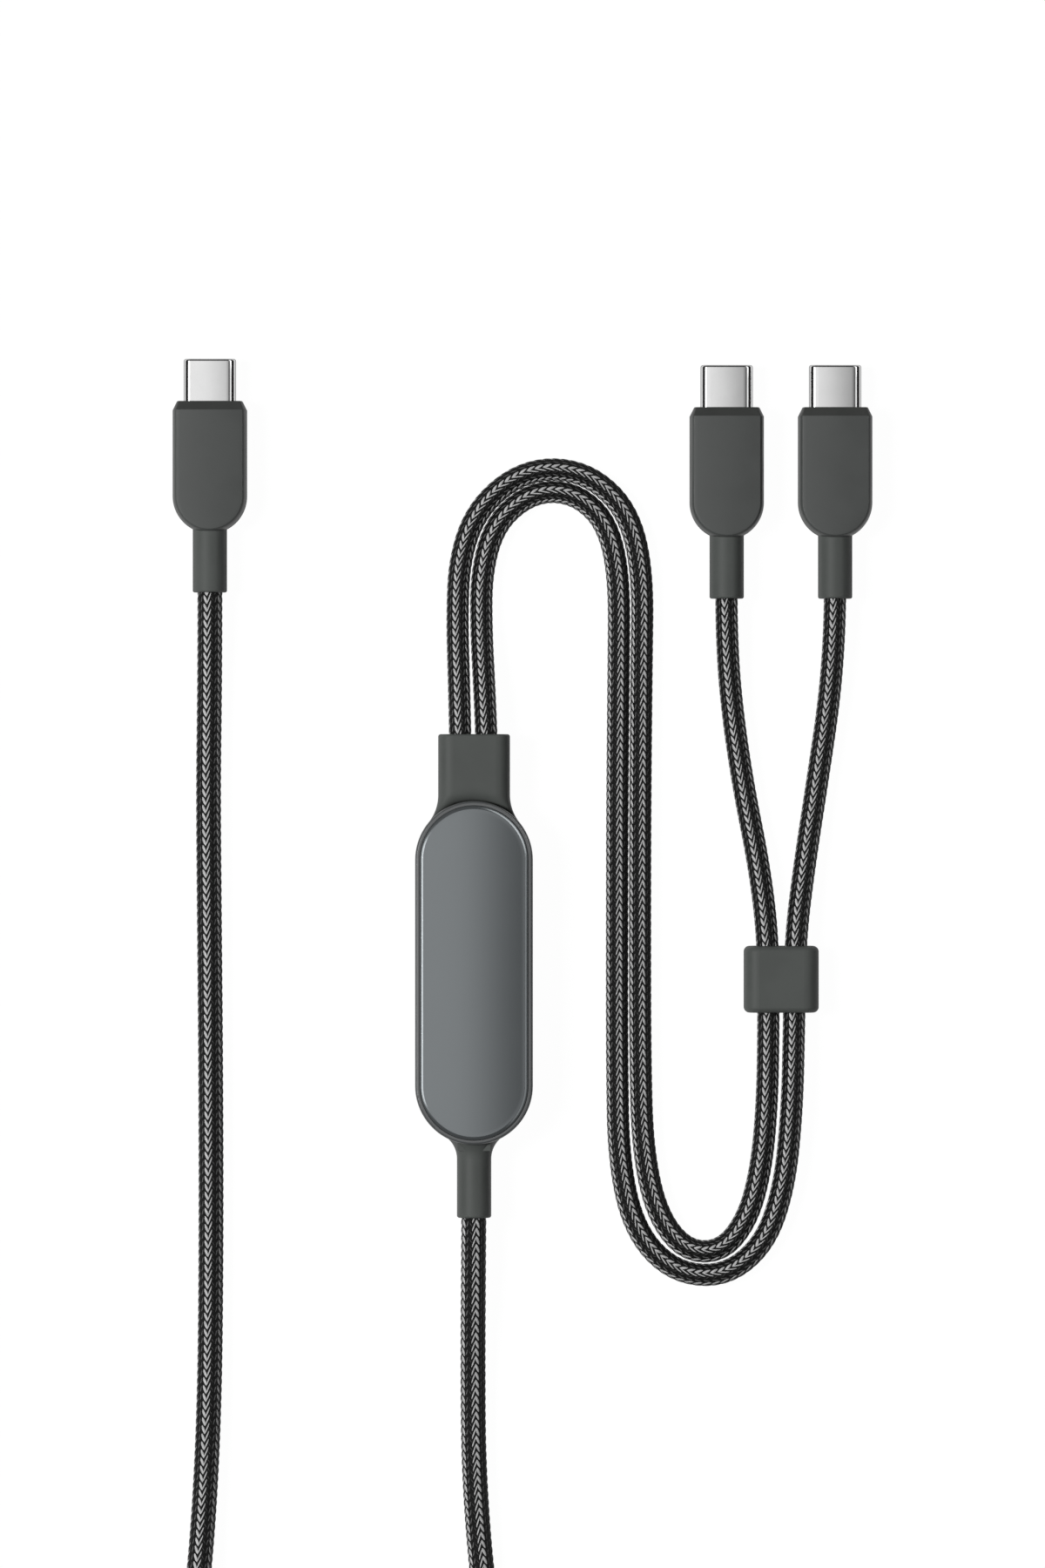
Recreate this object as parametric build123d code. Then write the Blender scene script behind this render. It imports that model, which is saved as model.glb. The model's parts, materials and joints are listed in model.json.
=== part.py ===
from build123d import *
import math
import os

# A USB-C charging splitter cable, lying flat on a table.
# A capsule-shaped hub takes one input cord at its lower end and shares the power between two output
# cords at its upper end.  Each cord ends in a USB-C plug.  A slider holds the two output cords side by side.
# Units are millimetres.  +X is across the hub, +Y along it towards its two outlets, +Z up from the table.
# The origin is the centre of the hub's flat underside.

# ---- driving dimensions ------------------------------------------------------------------------
# hub
HUB_LENGTH = 54.0
HUB_WIDTH = 18.5
HUB_THICKNESS = 9.4
HUB_MIDDLE = HUB_THICKNESS / 2      # height of the hub's parting plane above the table
HUB_WALL = 1.3
SHELL_HALF = 4.1                    # half the thickness of the two joined half shells
SHELL_FLOOR = 0.8
SHELL_EDGE_ROUND = 0.45
PLATE_INSET = 0.725                 # rim of shell left showing round each cover plate
PLATE_SEAT = 0.8                    # depth of the recess that a cover plate sits in
PLATE_BEVEL_ACROSS = 0.8
PLATE_BEVEL_DOWN = 0.45
PLATE_CREST_ROUND = 0.8
FIT_GAP = 0.05                      # assembly gap between neighbouring mouldings
LIP_WIDTH = 0.5                     # tongue that locates the upper half shell in the lower one
LIP_HEIGHT = 0.7

# cords
INPUT_CORD = 3.9                    # diameters
BRANCH_CORD = 3.5
BRANCH_OFFSET = 2.1                 # from the hub's middle to each output cord

# boots that carry the cords out of the hub
TWIN_BOOT_WIDTH = 11.3
TWIN_BOOT_THICKNESS = 6.6
TWIN_BOOT_END = 37.5                # where the output cords leave it
TWIN_BOOT_ROUND = 2.3
BOOT_LIP_ROUND = 0.35               # of the edge round a boot's mouth
INLET_BOOT_DIAMETER = 5.4
INLET_BOOT_END = -38.6
TWIN_FLARE_RADIUS = 7.0             # of the hollow curves where the boots widen into the hub's round ends
INLET_FLARE_RADIUS = 4.3
FLARE_STOP = 0.86                   # how much of a hollow curve is kept, so that it ends in no knife edge
COLLAR_RADIUS = 1.2                 # of the hollow curve from a boot's flat top up to the hub's rim
CORD_END = 20.6                     # where a cord's jacket stops inside the hub, from its middle

# board inside the hub
BOARD_WIDTH = 14.6
BOARD_LENGTH = 38.0
BOARD_THICKNESS = 0.8
BOARD_TOP = 0.2                     # above the parting plane

# USB-C plug, in its own frame: y = 0 is the front of its moulding, +y points out of the plug
TONGUE_WIDTH = 8.25                 # outside of the steel tongue
TONGUE_THICKNESS = 2.4
TONGUE_REACH = 6.7
TONGUE_WALL = 0.25
TONGUE_DEPTH = 5.0                  # of the tongue inside the moulding
SLOT_WIDTH = 6.75                   # mouth that takes the socket's blade
SLOT_HEIGHT = 0.95
SLOT_DEPTH = 5.9
PLUG_WIDTH = 11.7
PLUG_THICKNESS = 6.2
PLUG_MIDDLE = PLUG_THICKNESS / 2    # height of a plug's axis above the table
PLUG_ROUND_CENTRE = -15.0           # centre of the round rear end
PLUG_EDGE_ROUND = 0.6
PLUG_WALL = 1.0
COLLAR_DEPTH = 1.4                  # chamfered nose
COLLAR_TAPER = 0.7
SLEEVE_DIAMETER = 5.4
SLEEVE_END = -30.1
CAN_WIDTH = 8.7
CAN_THICKNESS = 3.0
CAN_WALL = 0.2
CAN_FRONT = -3.5
CAN_BACK = -12.0
PLUG_CORD_END = -13.4               # where a cord's jacket stops inside a plug
CONTACT_PITCH = 0.5
CONTACTS_PER_ROW = 12

# where the plugs lie: x and y of the front of each moulding
INPUT_PLUG = (-41.66, 89.95)
LEFT_PLUG = (39.81, 88.97)
RIGHT_PLUG = (56.9, 88.97)

# slider on the two output cords
SLIDER_WIDTH = 11.8
SLIDER_LENGTH = 10.5
SLIDER_THICKNESS = 6.0
SLIDER_SIDE_ROUND = 2.4
SLIDER_END_ROUND = 0.9
SLIDER_CENTRE = (48.4, -1.1)
SLIDER_CORD_OFFSET = 2.05           # from the slider's middle to each cord
SLIDER_CLEARANCE = 0.25

# coil of the input cord, put away behind a tie
COIL_CENTRE = (-20.8, -123.0)
COIL_OUTER_TURN = 24.4              # radii of the turns' own lines
COIL_INNER_TURN = 20.5
COIL_HEIGHT = 7.7
TIE_WIDTH = 10.0
TIE_THICKNESS = 0.8
TIE_TAB = 7.0                       # free end of the strap, on top

# ---- cord routes -------------------------------------------------------------------------------
FLOOR_INPUT = INPUT_CORD / 2        # height of a cord's line where it lies on the table
FLOOR_BRANCH = BRANCH_CORD / 2
SLIDER_LIFT = SLIDER_THICKNESS / 2  # height of the output cords inside the slider

# hub to coil
LEAD_ROUTE = [
    (0.0, -CORD_END, HUB_MIDDLE),
    (0.0, -33.0, HUB_MIDDLE),
    (-0.1, -46.5, 4.2),
    (-0.2, -61.0, 2.2),
    (-0.1, -78.0, FLOOR_INPUT),
    (1.2, -95.5, FLOOR_INPUT),
    (3.4, -110.0, FLOOR_INPUT),
    (3.6, -123.0, FLOOR_INPUT),
]

# coil to input plug
TAIL_ROUTE = [
    (-45.2, -123.0, 5.75),
    (-44.9, -108.0, 4.6),
    (-43.0, -91.5, 2.3),
    (-41.8, -70.0, FLOOR_INPUT),
    (-41.5, -45.0, FLOOR_INPUT),
    (-41.55, -17.0, FLOOR_INPUT),
    (-41.8, 10.0, FLOOR_INPUT),
    (-41.95, 29.0, FLOOR_INPUT),
    (-41.75, 43.5, 2.25),
    (INPUT_PLUG[0], 55.0, 3.0),
    (INPUT_PLUG[0], 66.0, PLUG_MIDDLE),
    (INPUT_PLUG[0], INPUT_PLUG[1] + PLUG_CORD_END, PLUG_MIDDLE),
]

# hub to left output plug: the outer cord over the arch, the inner one through the bight
LEFT_ROUTE = [
    (-BRANCH_OFFSET, CORD_END, HUB_MIDDLE),
    (-BRANCH_OFFSET, 32.5, HUB_MIDDLE),
    (-2.35, 44.5, 4.1),
    (-2.7, 55.5, 2.1),
    (-2.35, 65.0, FLOOR_BRANCH),
    (0.2, 72.5, FLOOR_BRANCH),
    (5.8, 77.9, FLOOR_BRANCH),
    (12.3, 79.7, FLOOR_BRANCH),
    (19.0, 78.0, FLOOR_BRANCH),
    (24.4, 72.4, FLOOR_BRANCH),
    (26.6, 63.0, FLOOR_BRANCH),
    (26.4, 48.0, FLOOR_BRANCH),
    (26.2, 28.0, FLOOR_BRANCH),
    (26.15, 6.0, FLOOR_BRANCH),
    (26.2, -14.0, FLOOR_BRANCH),
    (26.6, -28.0, FLOOR_BRANCH),
    (28.8, -38.2, FLOOR_BRANCH),
    (33.3, -44.0, FLOOR_BRANCH),
    (39.1, -44.1, FLOOR_BRANCH),
    (43.2, -38.9, FLOOR_BRANCH),
    (45.3, -30.8, 2.4),
    (46.2, -20.5, SLIDER_LIFT),
    (46.4, -8.5, SLIDER_LIFT),
    (46.35, 5.0, SLIDER_LIFT),
    (45.0, 16.5, 2.2),
    (42.3, 30.0, FLOOR_BRANCH),
    (40.4, 43.5, 2.15),
    (39.75, 54.5, 3.0),
    (LEFT_PLUG[0], 65.0, PLUG_MIDDLE),
    (LEFT_PLUG[0], LEFT_PLUG[1] + PLUG_CORD_END, PLUG_MIDDLE),
]

# hub to right output plug: the inner cord over the arch, the outer one through the bight
RIGHT_ROUTE = [
    (BRANCH_OFFSET, CORD_END, HUB_MIDDLE),
    (BRANCH_OFFSET, 32.5, HUB_MIDDLE),
    (1.65, 44.0, 4.1),
    (1.1, 54.0, 2.1),
    (1.15, 63.0, FLOOR_BRANCH),
    (3.1, 70.2, FLOOR_BRANCH),
    (7.4, 74.6, FLOOR_BRANCH),
    (12.3, 76.1, FLOOR_BRANCH),
    (17.2, 74.7, FLOOR_BRANCH),
    (21.1, 70.4, FLOOR_BRANCH),
    (22.9, 62.2, FLOOR_BRANCH),
    (22.8, 48.0, FLOOR_BRANCH),
    (22.6, 28.0, FLOOR_BRANCH),
    (22.55, 6.0, FLOOR_BRANCH),
    (22.55, -14.0, FLOOR_BRANCH),
    (22.8, -30.0, FLOOR_BRANCH),
    (25.4, -41.0, FLOOR_BRANCH),
    (31.4, -47.3, FLOOR_BRANCH),
    (39.4, -48.1, FLOOR_BRANCH),
    (45.8, -43.0, FLOOR_BRANCH),
    (48.9, -34.0, 2.3),
    (50.1, -22.0, SLIDER_LIFT),
    (50.42, -9.0, SLIDER_LIFT),
    (50.6, 5.0, SLIDER_LIFT),
    (52.1, 17.0, 2.2),
    (54.2, 30.5, FLOOR_BRANCH),
    (56.1, 43.5, 2.15),
    (56.85, 54.5, 3.0),
    (RIGHT_PLUG[0], 65.0, PLUG_MIDDLE),
    (RIGHT_PLUG[0], RIGHT_PLUG[1] + PLUG_CORD_END, PLUG_MIDDLE),
]


# ---- helpers -----------------------------------------------------------------------------------
def along_y(sketch, start, end):
    """A sketch drawn in x and z, made solid from y = start to y = end."""
    plane = Plane(origin=(0, end, 0), x_dir=(1, 0, 0), z_dir=(0, -1, 0))
    return extrude(plane * sketch, amount=end - start)


def capsule(width, length, low, high):
    """A prism with round ends, lengthwise on Y, from z = low to z = high."""
    return extrude(Pos(0, 0, low) * SlotOverall(length, width, rotation=90), amount=high - low)


def rod(radius, start, end, x=0.0, z=0.0):
    """A round rod lying along Y."""
    return along_y(Pos(x, z) * Circle(radius), start, end)


def block(x, y, z):
    """A box given as three (low, high) pairs."""
    size = [high - low for low, high in (x, y, z)]
    middle = [(low + high) / 2 for low, high in (x, y, z)]
    return Pos(*middle) * Box(*size)


def rounded_bar(width, thickness, start, end, side_round, end_round):
    """A bar along Y with round sides, and softened edges at both ends."""
    bar = along_y(RectangleRounded(width, thickness, side_round), start, end)
    ends = bar.edges().filter_by_position(Axis.Y, start, start) + bar.edges().filter_by_position(Axis.Y, end, end)
    return fillet(ends, end_round)


# ---- hub ---------------------------------------------------------------------------------------
def hub_plate():
    """Upper cover plate: a glossy capsule with a bevelled rim. The lower one is its mirror image."""
    plate = capsule(HUB_WIDTH - 2 * PLATE_INSET, HUB_LENGTH - 2 * PLATE_INSET, SHELL_HALF - PLATE_SEAT, HUB_MIDDLE)
    top = plate.faces().sort_by(Axis.Z)[-1]
    plate = chamfer(top.edges(), PLATE_BEVEL_ACROSS, PLATE_BEVEL_DOWN, reference=top)
    crest = plate.faces().sort_by(Axis.Z)[-1].edges()
    return fillet(crest, PLATE_CREST_ROUND)


def neck_openings():
    """Material that both half shells leave out for the two boots' necks."""
    outlet = block((-4.75, 4.75), (20.0, 30.0), (-2.35, 2.35))
    inlet = block((-2.65, 2.65), (-30.0, -20.0), (-2.65, 2.65))
    return outlet + inlet


def half_shell():
    """Upper half of the hub's case, with the recess for its cover plate, and posts that press on the board."""
    case = capsule(HUB_WIDTH, HUB_LENGTH, 0, SHELL_HALF)
    case = fillet(case.faces().sort_by(Axis.Z)[-1].edges(), SHELL_EDGE_ROUND)
    recess = 2 * (PLATE_INSET - FIT_GAP)
    case -= capsule(HUB_WIDTH - recess, HUB_LENGTH - recess, SHELL_HALF - PLATE_SEAT, SHELL_HALF + 1)
    ceiling = SHELL_HALF - PLATE_SEAT - SHELL_FLOOR
    case -= capsule(HUB_WIDTH - 2 * HUB_WALL, HUB_LENGTH - 2 * HUB_WALL, -1, ceiling)
    return case - neck_openings(), ceiling


def board_posts(low, high):
    """Four posts that hold the board, from z = low to z = high."""
    places = [(x, y) for x in (-6.2, 6.2) for y in (-12.0, 12.0)]
    return [Pos(x, y, (low + high) / 2) * Cylinder(0.8, high - low) for x, y in places]


def upper_shell():
    """Upper half shell with the locating tongue round its mouth."""
    case, ceiling = half_shell()
    outer = 2 * (HUB_WALL - LIP_WIDTH)
    tongue = capsule(HUB_WIDTH - outer, HUB_LENGTH - outer, -LIP_HEIGHT, 0.4)
    tongue -= capsule(HUB_WIDTH - 2 * HUB_WALL, HUB_LENGTH - 2 * HUB_WALL, -1, 1)
    case += tongue - neck_openings()
    for post in board_posts(BOARD_TOP + FIT_GAP, ceiling + 0.2):
        case += post
    return case


def lower_shell():
    """Lower half shell with the rebate that takes the tongue."""
    case, ceiling = half_shell()
    case = mirror(case, about=Plane.XY)
    outer = 2 * (HUB_WALL - LIP_WIDTH - FIT_GAP)
    case -= capsule(HUB_WIDTH - outer, HUB_LENGTH - outer, -LIP_HEIGHT - FIT_GAP, 1)
    for post in board_posts(-ceiling - 0.2, BOARD_TOP - BOARD_THICKNESS):
        case += post
    return case


def flare(half, radius):
    """Hollow curve that leaves a boot's straight side at x = half and reaches for the hub's round end, as the
    centre's height, and the curve's first, middle and last points."""
    end_centre = HUB_LENGTH / 2 - HUB_WIDTH / 2
    reach = HUB_WIDTH / 2 + radius
    centre = (half + radius, end_centre + math.sqrt(reach**2 - (half + radius)**2))
    sweep = FLARE_STOP * math.atan2(centre[1] - end_centre, centre[0])
    turns = (math.pi, math.pi + sweep / 2, math.pi + sweep)
    return [(centre[0] + radius * math.cos(turn), centre[1] + radius * math.sin(turn)) for turn in turns]


def twin_boot():
    """Moulded outlet for the two output cords. Its sides widen in a hollow curve into the hub's round end, and
    its flat faces rise to the hub's rim."""
    half, back = TWIN_BOOT_WIDTH / 2, 18.0
    start, middle, stop = flare(half, TWIN_FLARE_RADIUS)
    sides = []
    for side in (1, -1):
        first, between, last = [(side * x, y) for x, y in (start, middle, stop)]
        inner = (last[0], back)
        sides += [Line((side * half, TWIN_BOOT_END), first), ThreePointArc(first, between, last), Line(last, inner)]
    ends = [Line((half, TWIN_BOOT_END), (-half, TWIN_BOOT_END)), Line((stop[0], back), (-stop[0], back))]
    plan = make_face(Wire(sides + ends))

    def bar(thickness, side_round):
        """The plan made solid, with rounded flanks."""
        solid = extrude(plan, amount=thickness / 2, both=True)
        flanks = [e for e in solid.edges() if abs(e.center().Z) > 1 and abs(e.center().X) > half - 0.1]
        return fillet(flanks, side_round)

    body = bar(TWIN_BOOT_THICKNESS, TWIN_BOOT_ROUND)
    lip = body.faces().sort_by(Axis.Y)[-1].edges()
    body = fillet(lip, BOOT_LIP_ROUND)
    rim, low = HUB_WIDTH / 2, TWIN_BOOT_THICKNESS / 2
    hollow = make_face(Wire([
        Line((rim - 1, 0), (rim + COLLAR_RADIUS, 0)),
        Line((rim + COLLAR_RADIUS, 0), (rim + COLLAR_RADIUS, low)),
        RadiusArc((rim + COLLAR_RADIUS, low), (rim, low + COLLAR_RADIUS), COLLAR_RADIUS),
        Line((rim, low + COLLAR_RADIUS), (rim - 1, low + COLLAR_RADIUS)),
        Line((rim - 1, low + COLLAR_RADIUS), (rim - 1, 0)),
    ]))
    collar = Pos(0, HUB_LENGTH / 2 - HUB_WIDTH / 2) * revolve(Plane.XZ * hollow, Axis.Z)
    collar += mirror(collar, about=Plane.XY)
    body += collar & bar(TWIN_BOOT_THICKNESS + 2 * COLLAR_RADIUS, TWIN_BOOT_ROUND + 0.6)
    body -= capsule(HUB_WIDTH + 0.02, HUB_LENGTH + 0.02, -10, 10)
    neck = block((-4.7, 4.7), (23.2, 28.0), (-2.3, 2.3))
    flange = block((-5.4, 5.4), (21.8, 23.35), (-2.4, 2.4))
    boot = body + neck + flange
    for x in (-BRANCH_OFFSET, BRANCH_OFFSET):
        boot -= rod(BRANCH_CORD / 2 + FIT_GAP, 20, 40, x)
    return boot


def inlet_boot():
    """Round moulded inlet for the input cord, widening in a hollow curve into the hub's round end."""
    radius, lip, back = INLET_BOOT_DIAMETER / 2, BOOT_LIP_ROUND, -22.0
    start, middle, stop = [(x, -y) for x, y in flare(radius, INLET_FLARE_RADIUS)]
    outline = [
        Line((0, INLET_BOOT_END), (radius - lip, INLET_BOOT_END)),
        RadiusArc((radius - lip, INLET_BOOT_END), (radius, INLET_BOOT_END + lip), -lip),
        Line((radius, INLET_BOOT_END + lip), start),
        ThreePointArc(start, middle, stop),
        Line(stop, (stop[0], back)),
        Line((stop[0], back), (0, back)),
        Line((0, back), (0, INLET_BOOT_END)),
    ]
    body = revolve(make_face(Wire(outline)), Axis.Y)
    body -= capsule(HUB_WIDTH + 0.02, HUB_LENGTH + 0.02, -10, 10)
    neck = block((-2.6, 2.6), (-28.0, -23.6), (-2.6, 2.6))
    flange = block((-3.9, 3.9), (-24.4, -23.2), (-2.45, 2.45))
    boot = body + neck + flange
    return boot - rod(INPUT_CORD / 2 + FIT_GAP, -40, -20)


def crimp_ring(cord, x, start, end):
    """Metal ring crimped round a cord's end inside the hub."""
    inner = cord / 2 + 0.02
    return rod(inner + 0.25, start, end, x) - rod(inner, start - 1, end + 1, x)


def circuit_board():
    """The board, round at both ends."""
    return capsule(BOARD_WIDTH, BOARD_LENGTH, BOARD_TOP - BOARD_THICKNESS, BOARD_TOP)


def chips(size, places, top=BOARD_TOP):
    """Surface-mounted parts of one size, standing on the board."""
    wide, long, high = size
    return [Pos(x, y, top + high / 2) * Box(wide, long, high) for x, y in places]


def wire_ends(cord_x, jacket_end, board_end, board_top, board_bottom, radius=0.35, apart=0.6):
    """Four insulated wires from a cord's end to pads on both sides of a board."""
    start, end = sorted((jacket_end, board_end))
    heights = (board_top + radius, board_bottom - radius)
    return [rod(radius, start, end, cord_x + side * apart, z) for side in (-1, 1) for z in heights]


# ---- USB-C plug --------------------------------------------------------------------------------
def plug_tongue():
    """Drawn steel tongue, open at both ends, with a rounded lip."""
    outer = SlotOverall(TONGUE_WIDTH, TONGUE_THICKNESS)
    inner = SlotOverall(TONGUE_WIDTH - 2 * TONGUE_WALL, TONGUE_THICKNESS - 2 * TONGUE_WALL)
    bar = along_y(outer, -TONGUE_DEPTH, TONGUE_REACH)
    lip = bar.faces().sort_by(Axis.Y)[-1].edges()
    bar = fillet(lip, 0.2)
    return bar - along_y(inner, -TONGUE_DEPTH - 1, TONGUE_REACH + 1)


def contact_columns():
    """X of each contact in a row."""
    first = -(CONTACTS_PER_ROW - 1) * CONTACT_PITCH / 2
    return [first + n * CONTACT_PITCH for n in range(CONTACTS_PER_ROW)]


def plug_insulator():
    """Black moulding inside the tongue: the mouth, the grooves of the contacts and the pockets of the latch."""
    width = TONGUE_WIDTH - 2 * TONGUE_WALL - 0.04
    height = TONGUE_THICKNESS - 2 * TONGUE_WALL - 0.04
    front, back = TONGUE_REACH - 0.25, -4.6
    body = along_y(SlotOverall(width, height), back, front)
    mouth = Rectangle(SLOT_WIDTH, SLOT_HEIGHT)
    body -= along_y(mouth, front - SLOT_DEPTH, front + 1)
    grooves = [Pos(x, side * 0.56) * Rectangle(0.3, 0.3) for x in contact_columns() for side in (-1, 1)]
    pockets = [Pos(side * 3.5, 0) * Rectangle(0.34, 0.9) for side in (-1, 1)]
    body -= along_y(Sketch() + grooves + pockets, back - 1, front - 0.7)
    spine = Rectangle(7.3, 0.24)
    return body - along_y(spine, back - 1, front - SLOT_DEPTH + 0.5)


def plug_contacts():
    """Two rows of sprung contacts, each a strip with a raised tip in the mouth and a tail on the board."""
    contacts = []
    for x in contact_columns():
        for side in (-1, 1):
            low, high = sorted((side * 0.5, side * 0.65))
            strip = block((x - 0.11, x + 0.11), (-6.2, 5.3), (low, high))
            low, high = sorted((side * 0.36, side * 0.55))
            tip = block((x - 0.11, x + 0.11), (4.1, 4.7), (low, high))
            contacts.append(strip + tip)
    return contacts


def plug_latch():
    """Stamped steel latch: two sprung arms beside the mouth, joined by a plate between the contact rows."""
    plate = block((-3.6, 3.6), (-4.4, 0.4), (-0.1, 0.1))
    latch = plate
    for side in (-1, 1):
        low, high = sorted((side * 3.42, side * 3.6))
        latch += block((low, high), (-4.4, 5.2), (-0.4, 0.4))
        low, high = sorted((side * 3.25, side * 3.5))
        latch += block((low, high), (4.5, 5.1), (-0.3, 0.3))
    return latch


def plug_board():
    """Small board behind the contacts that the wires are soldered to."""
    return block((-3.6, 3.6), (-10.8, -4.7), (-0.5, 0.5))


def plug_marker_chip():
    """Chip that tells the charger what the cable can carry."""
    return block((-1.0, 1.0), (-8.9, -6.9), (0.5, 1.05))


def plug_can():
    """Folded steel can that closes over the board and grips the tongue."""
    outer = along_y(RectangleRounded(CAN_WIDTH, CAN_THICKNESS, 0.5), CAN_BACK, CAN_FRONT)
    inside = RectangleRounded(CAN_WIDTH - 2 * CAN_WALL, CAN_THICKNESS - 2 * CAN_WALL, 0.3)
    can = outer - along_y(inside, CAN_BACK + CAN_WALL, CAN_FRONT - CAN_WALL)
    can -= along_y(SlotOverall(TONGUE_WIDTH + 0.04, TONGUE_THICKNESS + 0.04), CAN_FRONT - 1, CAN_FRONT + 1)
    return can - rod(1.45, CAN_BACK - 1, CAN_BACK + 1)


def plug_core(cord):
    """Inner moulding round the can, with the chamfered nose that shows at the front of the plug."""
    front = Plane(origin=(0, 0, 0), x_dir=(1, 0, 0), z_dir=(0, -1, 0))
    back = Plane(origin=(0, -COLLAR_DEPTH, 0), x_dir=(1, 0, 0), z_dir=(0, -1, 0))
    nose = front * RectangleRounded(PLUG_WIDTH - 2 * COLLAR_TAPER, PLUG_THICKNESS - 2 * COLLAR_TAPER, 0.35)
    shoulder = back * RectangleRounded(PLUG_WIDTH, PLUG_THICKNESS, PLUG_EDGE_ROUND)
    collar = loft([nose.face(), shoulder.face()], ruled=True)
    gap = PLUG_WALL + FIT_GAP
    inner = RectangleRounded(PLUG_WIDTH - 2 * gap, PLUG_THICKNESS - 2 * gap, 0.6)
    core = collar + along_y(inner, -15.8, -COLLAR_DEPTH)
    core -= along_y(SlotOverall(TONGUE_WIDTH + 0.04, TONGUE_THICKNESS + 0.04), CAN_FRONT - 1, 1)
    core -= along_y(RectangleRounded(CAN_WIDTH + 0.04, CAN_THICKNESS + 0.04, 0.5), CAN_BACK - 0.02, CAN_FRONT + 0.02)
    return core - rod(cord / 2 + FIT_GAP, -17, CAN_BACK + 0.5)


def plug_plan():
    """Outline of the plug's moulding from above: straight sides and a round rear end."""
    half = PLUG_WIDTH / 2
    front = -COLLAR_DEPTH
    straight = front - PLUG_ROUND_CENTRE
    body = Pos(0, front - straight / 2) * Rectangle(2 * half, straight)
    return body + Pos(0, PLUG_ROUND_CENTRE) * Circle(half)


def plug_housing():
    """Outer moulding: a flat sleeve closed by its round rear end, which holds the cord's sleeve."""
    solid = extrude(plug_plan(), amount=PLUG_THICKNESS / 2, both=True)
    rims = [e for e in solid.edges() if abs(e.center().Z) > 1 and e.center().Y < -COLLAR_DEPTH - 0.1]
    solid = fillet(rims, PLUG_EDGE_ROUND)
    cavity = RectangleRounded(PLUG_WIDTH - 2 * PLUG_WALL, PLUG_THICKNESS - 2 * PLUG_WALL, 0.6)
    solid -= along_y(cavity, -15.9, 0)
    return solid - rod(SLEEVE_DIAMETER / 2 + 0.02, -30, -15)


def plug_sleeve(cord):
    """Strain relief: a soft tube round the cord where it leaves the plug."""
    tube = rod(SLEEVE_DIAMETER / 2, SLEEVE_END, -15.9)
    rim = tube.edges().sort_by(Axis.Y)[0]
    tube = fillet([rim], 0.3)
    return tube - rod(cord / 2 + FIT_GAP, SLEEVE_END - 1, 0)


def plug_parts(cord, marked):
    """Every piece of one plug, by name, in the plug's own frame. Only a marked plug has the marker chip."""
    parts = {
        "tongue": plug_tongue(),
        "insulator": plug_insulator(),
        "contacts": plug_contacts(),
        "latch": plug_latch(),
        "board": plug_board(),
        "can": plug_can(),
        "core": plug_core(cord),
        "housing": plug_housing(),
        "sleeve": plug_sleeve(cord),
        "wires": wire_ends(0, PLUG_CORD_END, -9.6, 0.5, -0.5),
    }
    if marked:
        parts["marker_chip"] = plug_marker_chip()
    return parts


# ---- slider, coil and tie ----------------------------------------------------------------------
def slider():
    """Slider that holds the output cords side by side, with one flat channel for both."""
    half = SLIDER_LENGTH / 2
    body = rounded_bar(SLIDER_WIDTH, SLIDER_THICKNESS, -half, half, SLIDER_SIDE_ROUND, SLIDER_END_ROUND)
    channel = SlotOverall(
        2 * SLIDER_CORD_OFFSET + BRANCH_CORD + 2 * SLIDER_CLEARANCE, BRANCH_CORD + 2 * SLIDER_CLEARANCE
    )
    return body - along_y(channel, -half - 1, half + 1)


def tie_band():
    """Strap loop round the bundle of turns at the coil's lowest point, with its free end lying on top."""
    middle = -(COIL_OUTER_TURN + COIL_INNER_TURN) / 2
    reach = COIL_OUTER_TURN - COIL_INNER_TURN + INPUT_CORD + 0.8
    outside = block(
        (-TIE_WIDTH / 2, TIE_WIDTH / 2),
        (middle - reach / 2 - TIE_THICKNESS, middle + reach / 2 + TIE_THICKNESS),
        (0, COIL_HEIGHT + 2 * TIE_THICKNESS),
    )
    outside = fillet(outside.edges().filter_by(Axis.X), 2.0)
    inside = block(
        (-TIE_WIDTH, TIE_WIDTH),
        (middle - reach / 2, middle + reach / 2),
        (TIE_THICKNESS, COIL_HEIGHT + TIE_THICKNESS),
    )
    inside = fillet(inside.edges().filter_by(Axis.X), 1.4)
    top = COIL_HEIGHT + 2 * TIE_THICKNESS
    tab = block(
        (-TIE_WIDTH / 2, TIE_WIDTH / 2),
        (middle - TIE_TAB / 2, middle + TIE_TAB / 2),
        (top - 0.2, top + TIE_THICKNESS),
    )
    return outside - inside + tab, inside


def coil_ring():
    """Outer shape of the coiled turns, cut away where the tie's strap passes under and round them."""
    inner = COIL_INNER_TURN - INPUT_CORD / 2
    outer = COIL_OUTER_TURN + INPUT_CORD / 2
    ring = Cylinder(outer, COIL_HEIGHT) - Cylinder(inner, COIL_HEIGHT)
    ring = Pos(0, 0, COIL_HEIGHT / 2) * fillet(ring.edges(), 1.5)
    band, inside = tie_band()
    hull = band + inside
    return ring - hull + (ring & inside)


def cord_tube(route, diameter):
    """A round tube along a route: straight runs joined by tangent arcs, each as large as its two runs allow."""
    points = [Vector(*p) for p in route]
    radii = []
    for before, here, after in zip(points, points[1:], points[2:]):
        turn = math.radians((here - before).get_angle(after - here))
        shorter = min((here - before).length, (after - here).length)
        radii.append(0.45 * shorter / math.tan(turn / 2))
    line = FilletPolyline(*points, radius=radii)
    start = Plane(origin=points[0], z_dir=points[1] - points[0])
    tube = sweep(start * Circle(diameter / 2), path=line)
    expected = math.pi * diameter**2 / 4 * line.length
    print(
        f"tube {diameter} mm: length {line.length:.1f}, smallest radius {min(radii):.1f}"
        f" = {min(radii) / diameter:.1f} diameters, volume {tube.volume / expected:.4f} of expected"
    )
    print("   radii", [round(r) for r in radii])
    return tube


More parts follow.
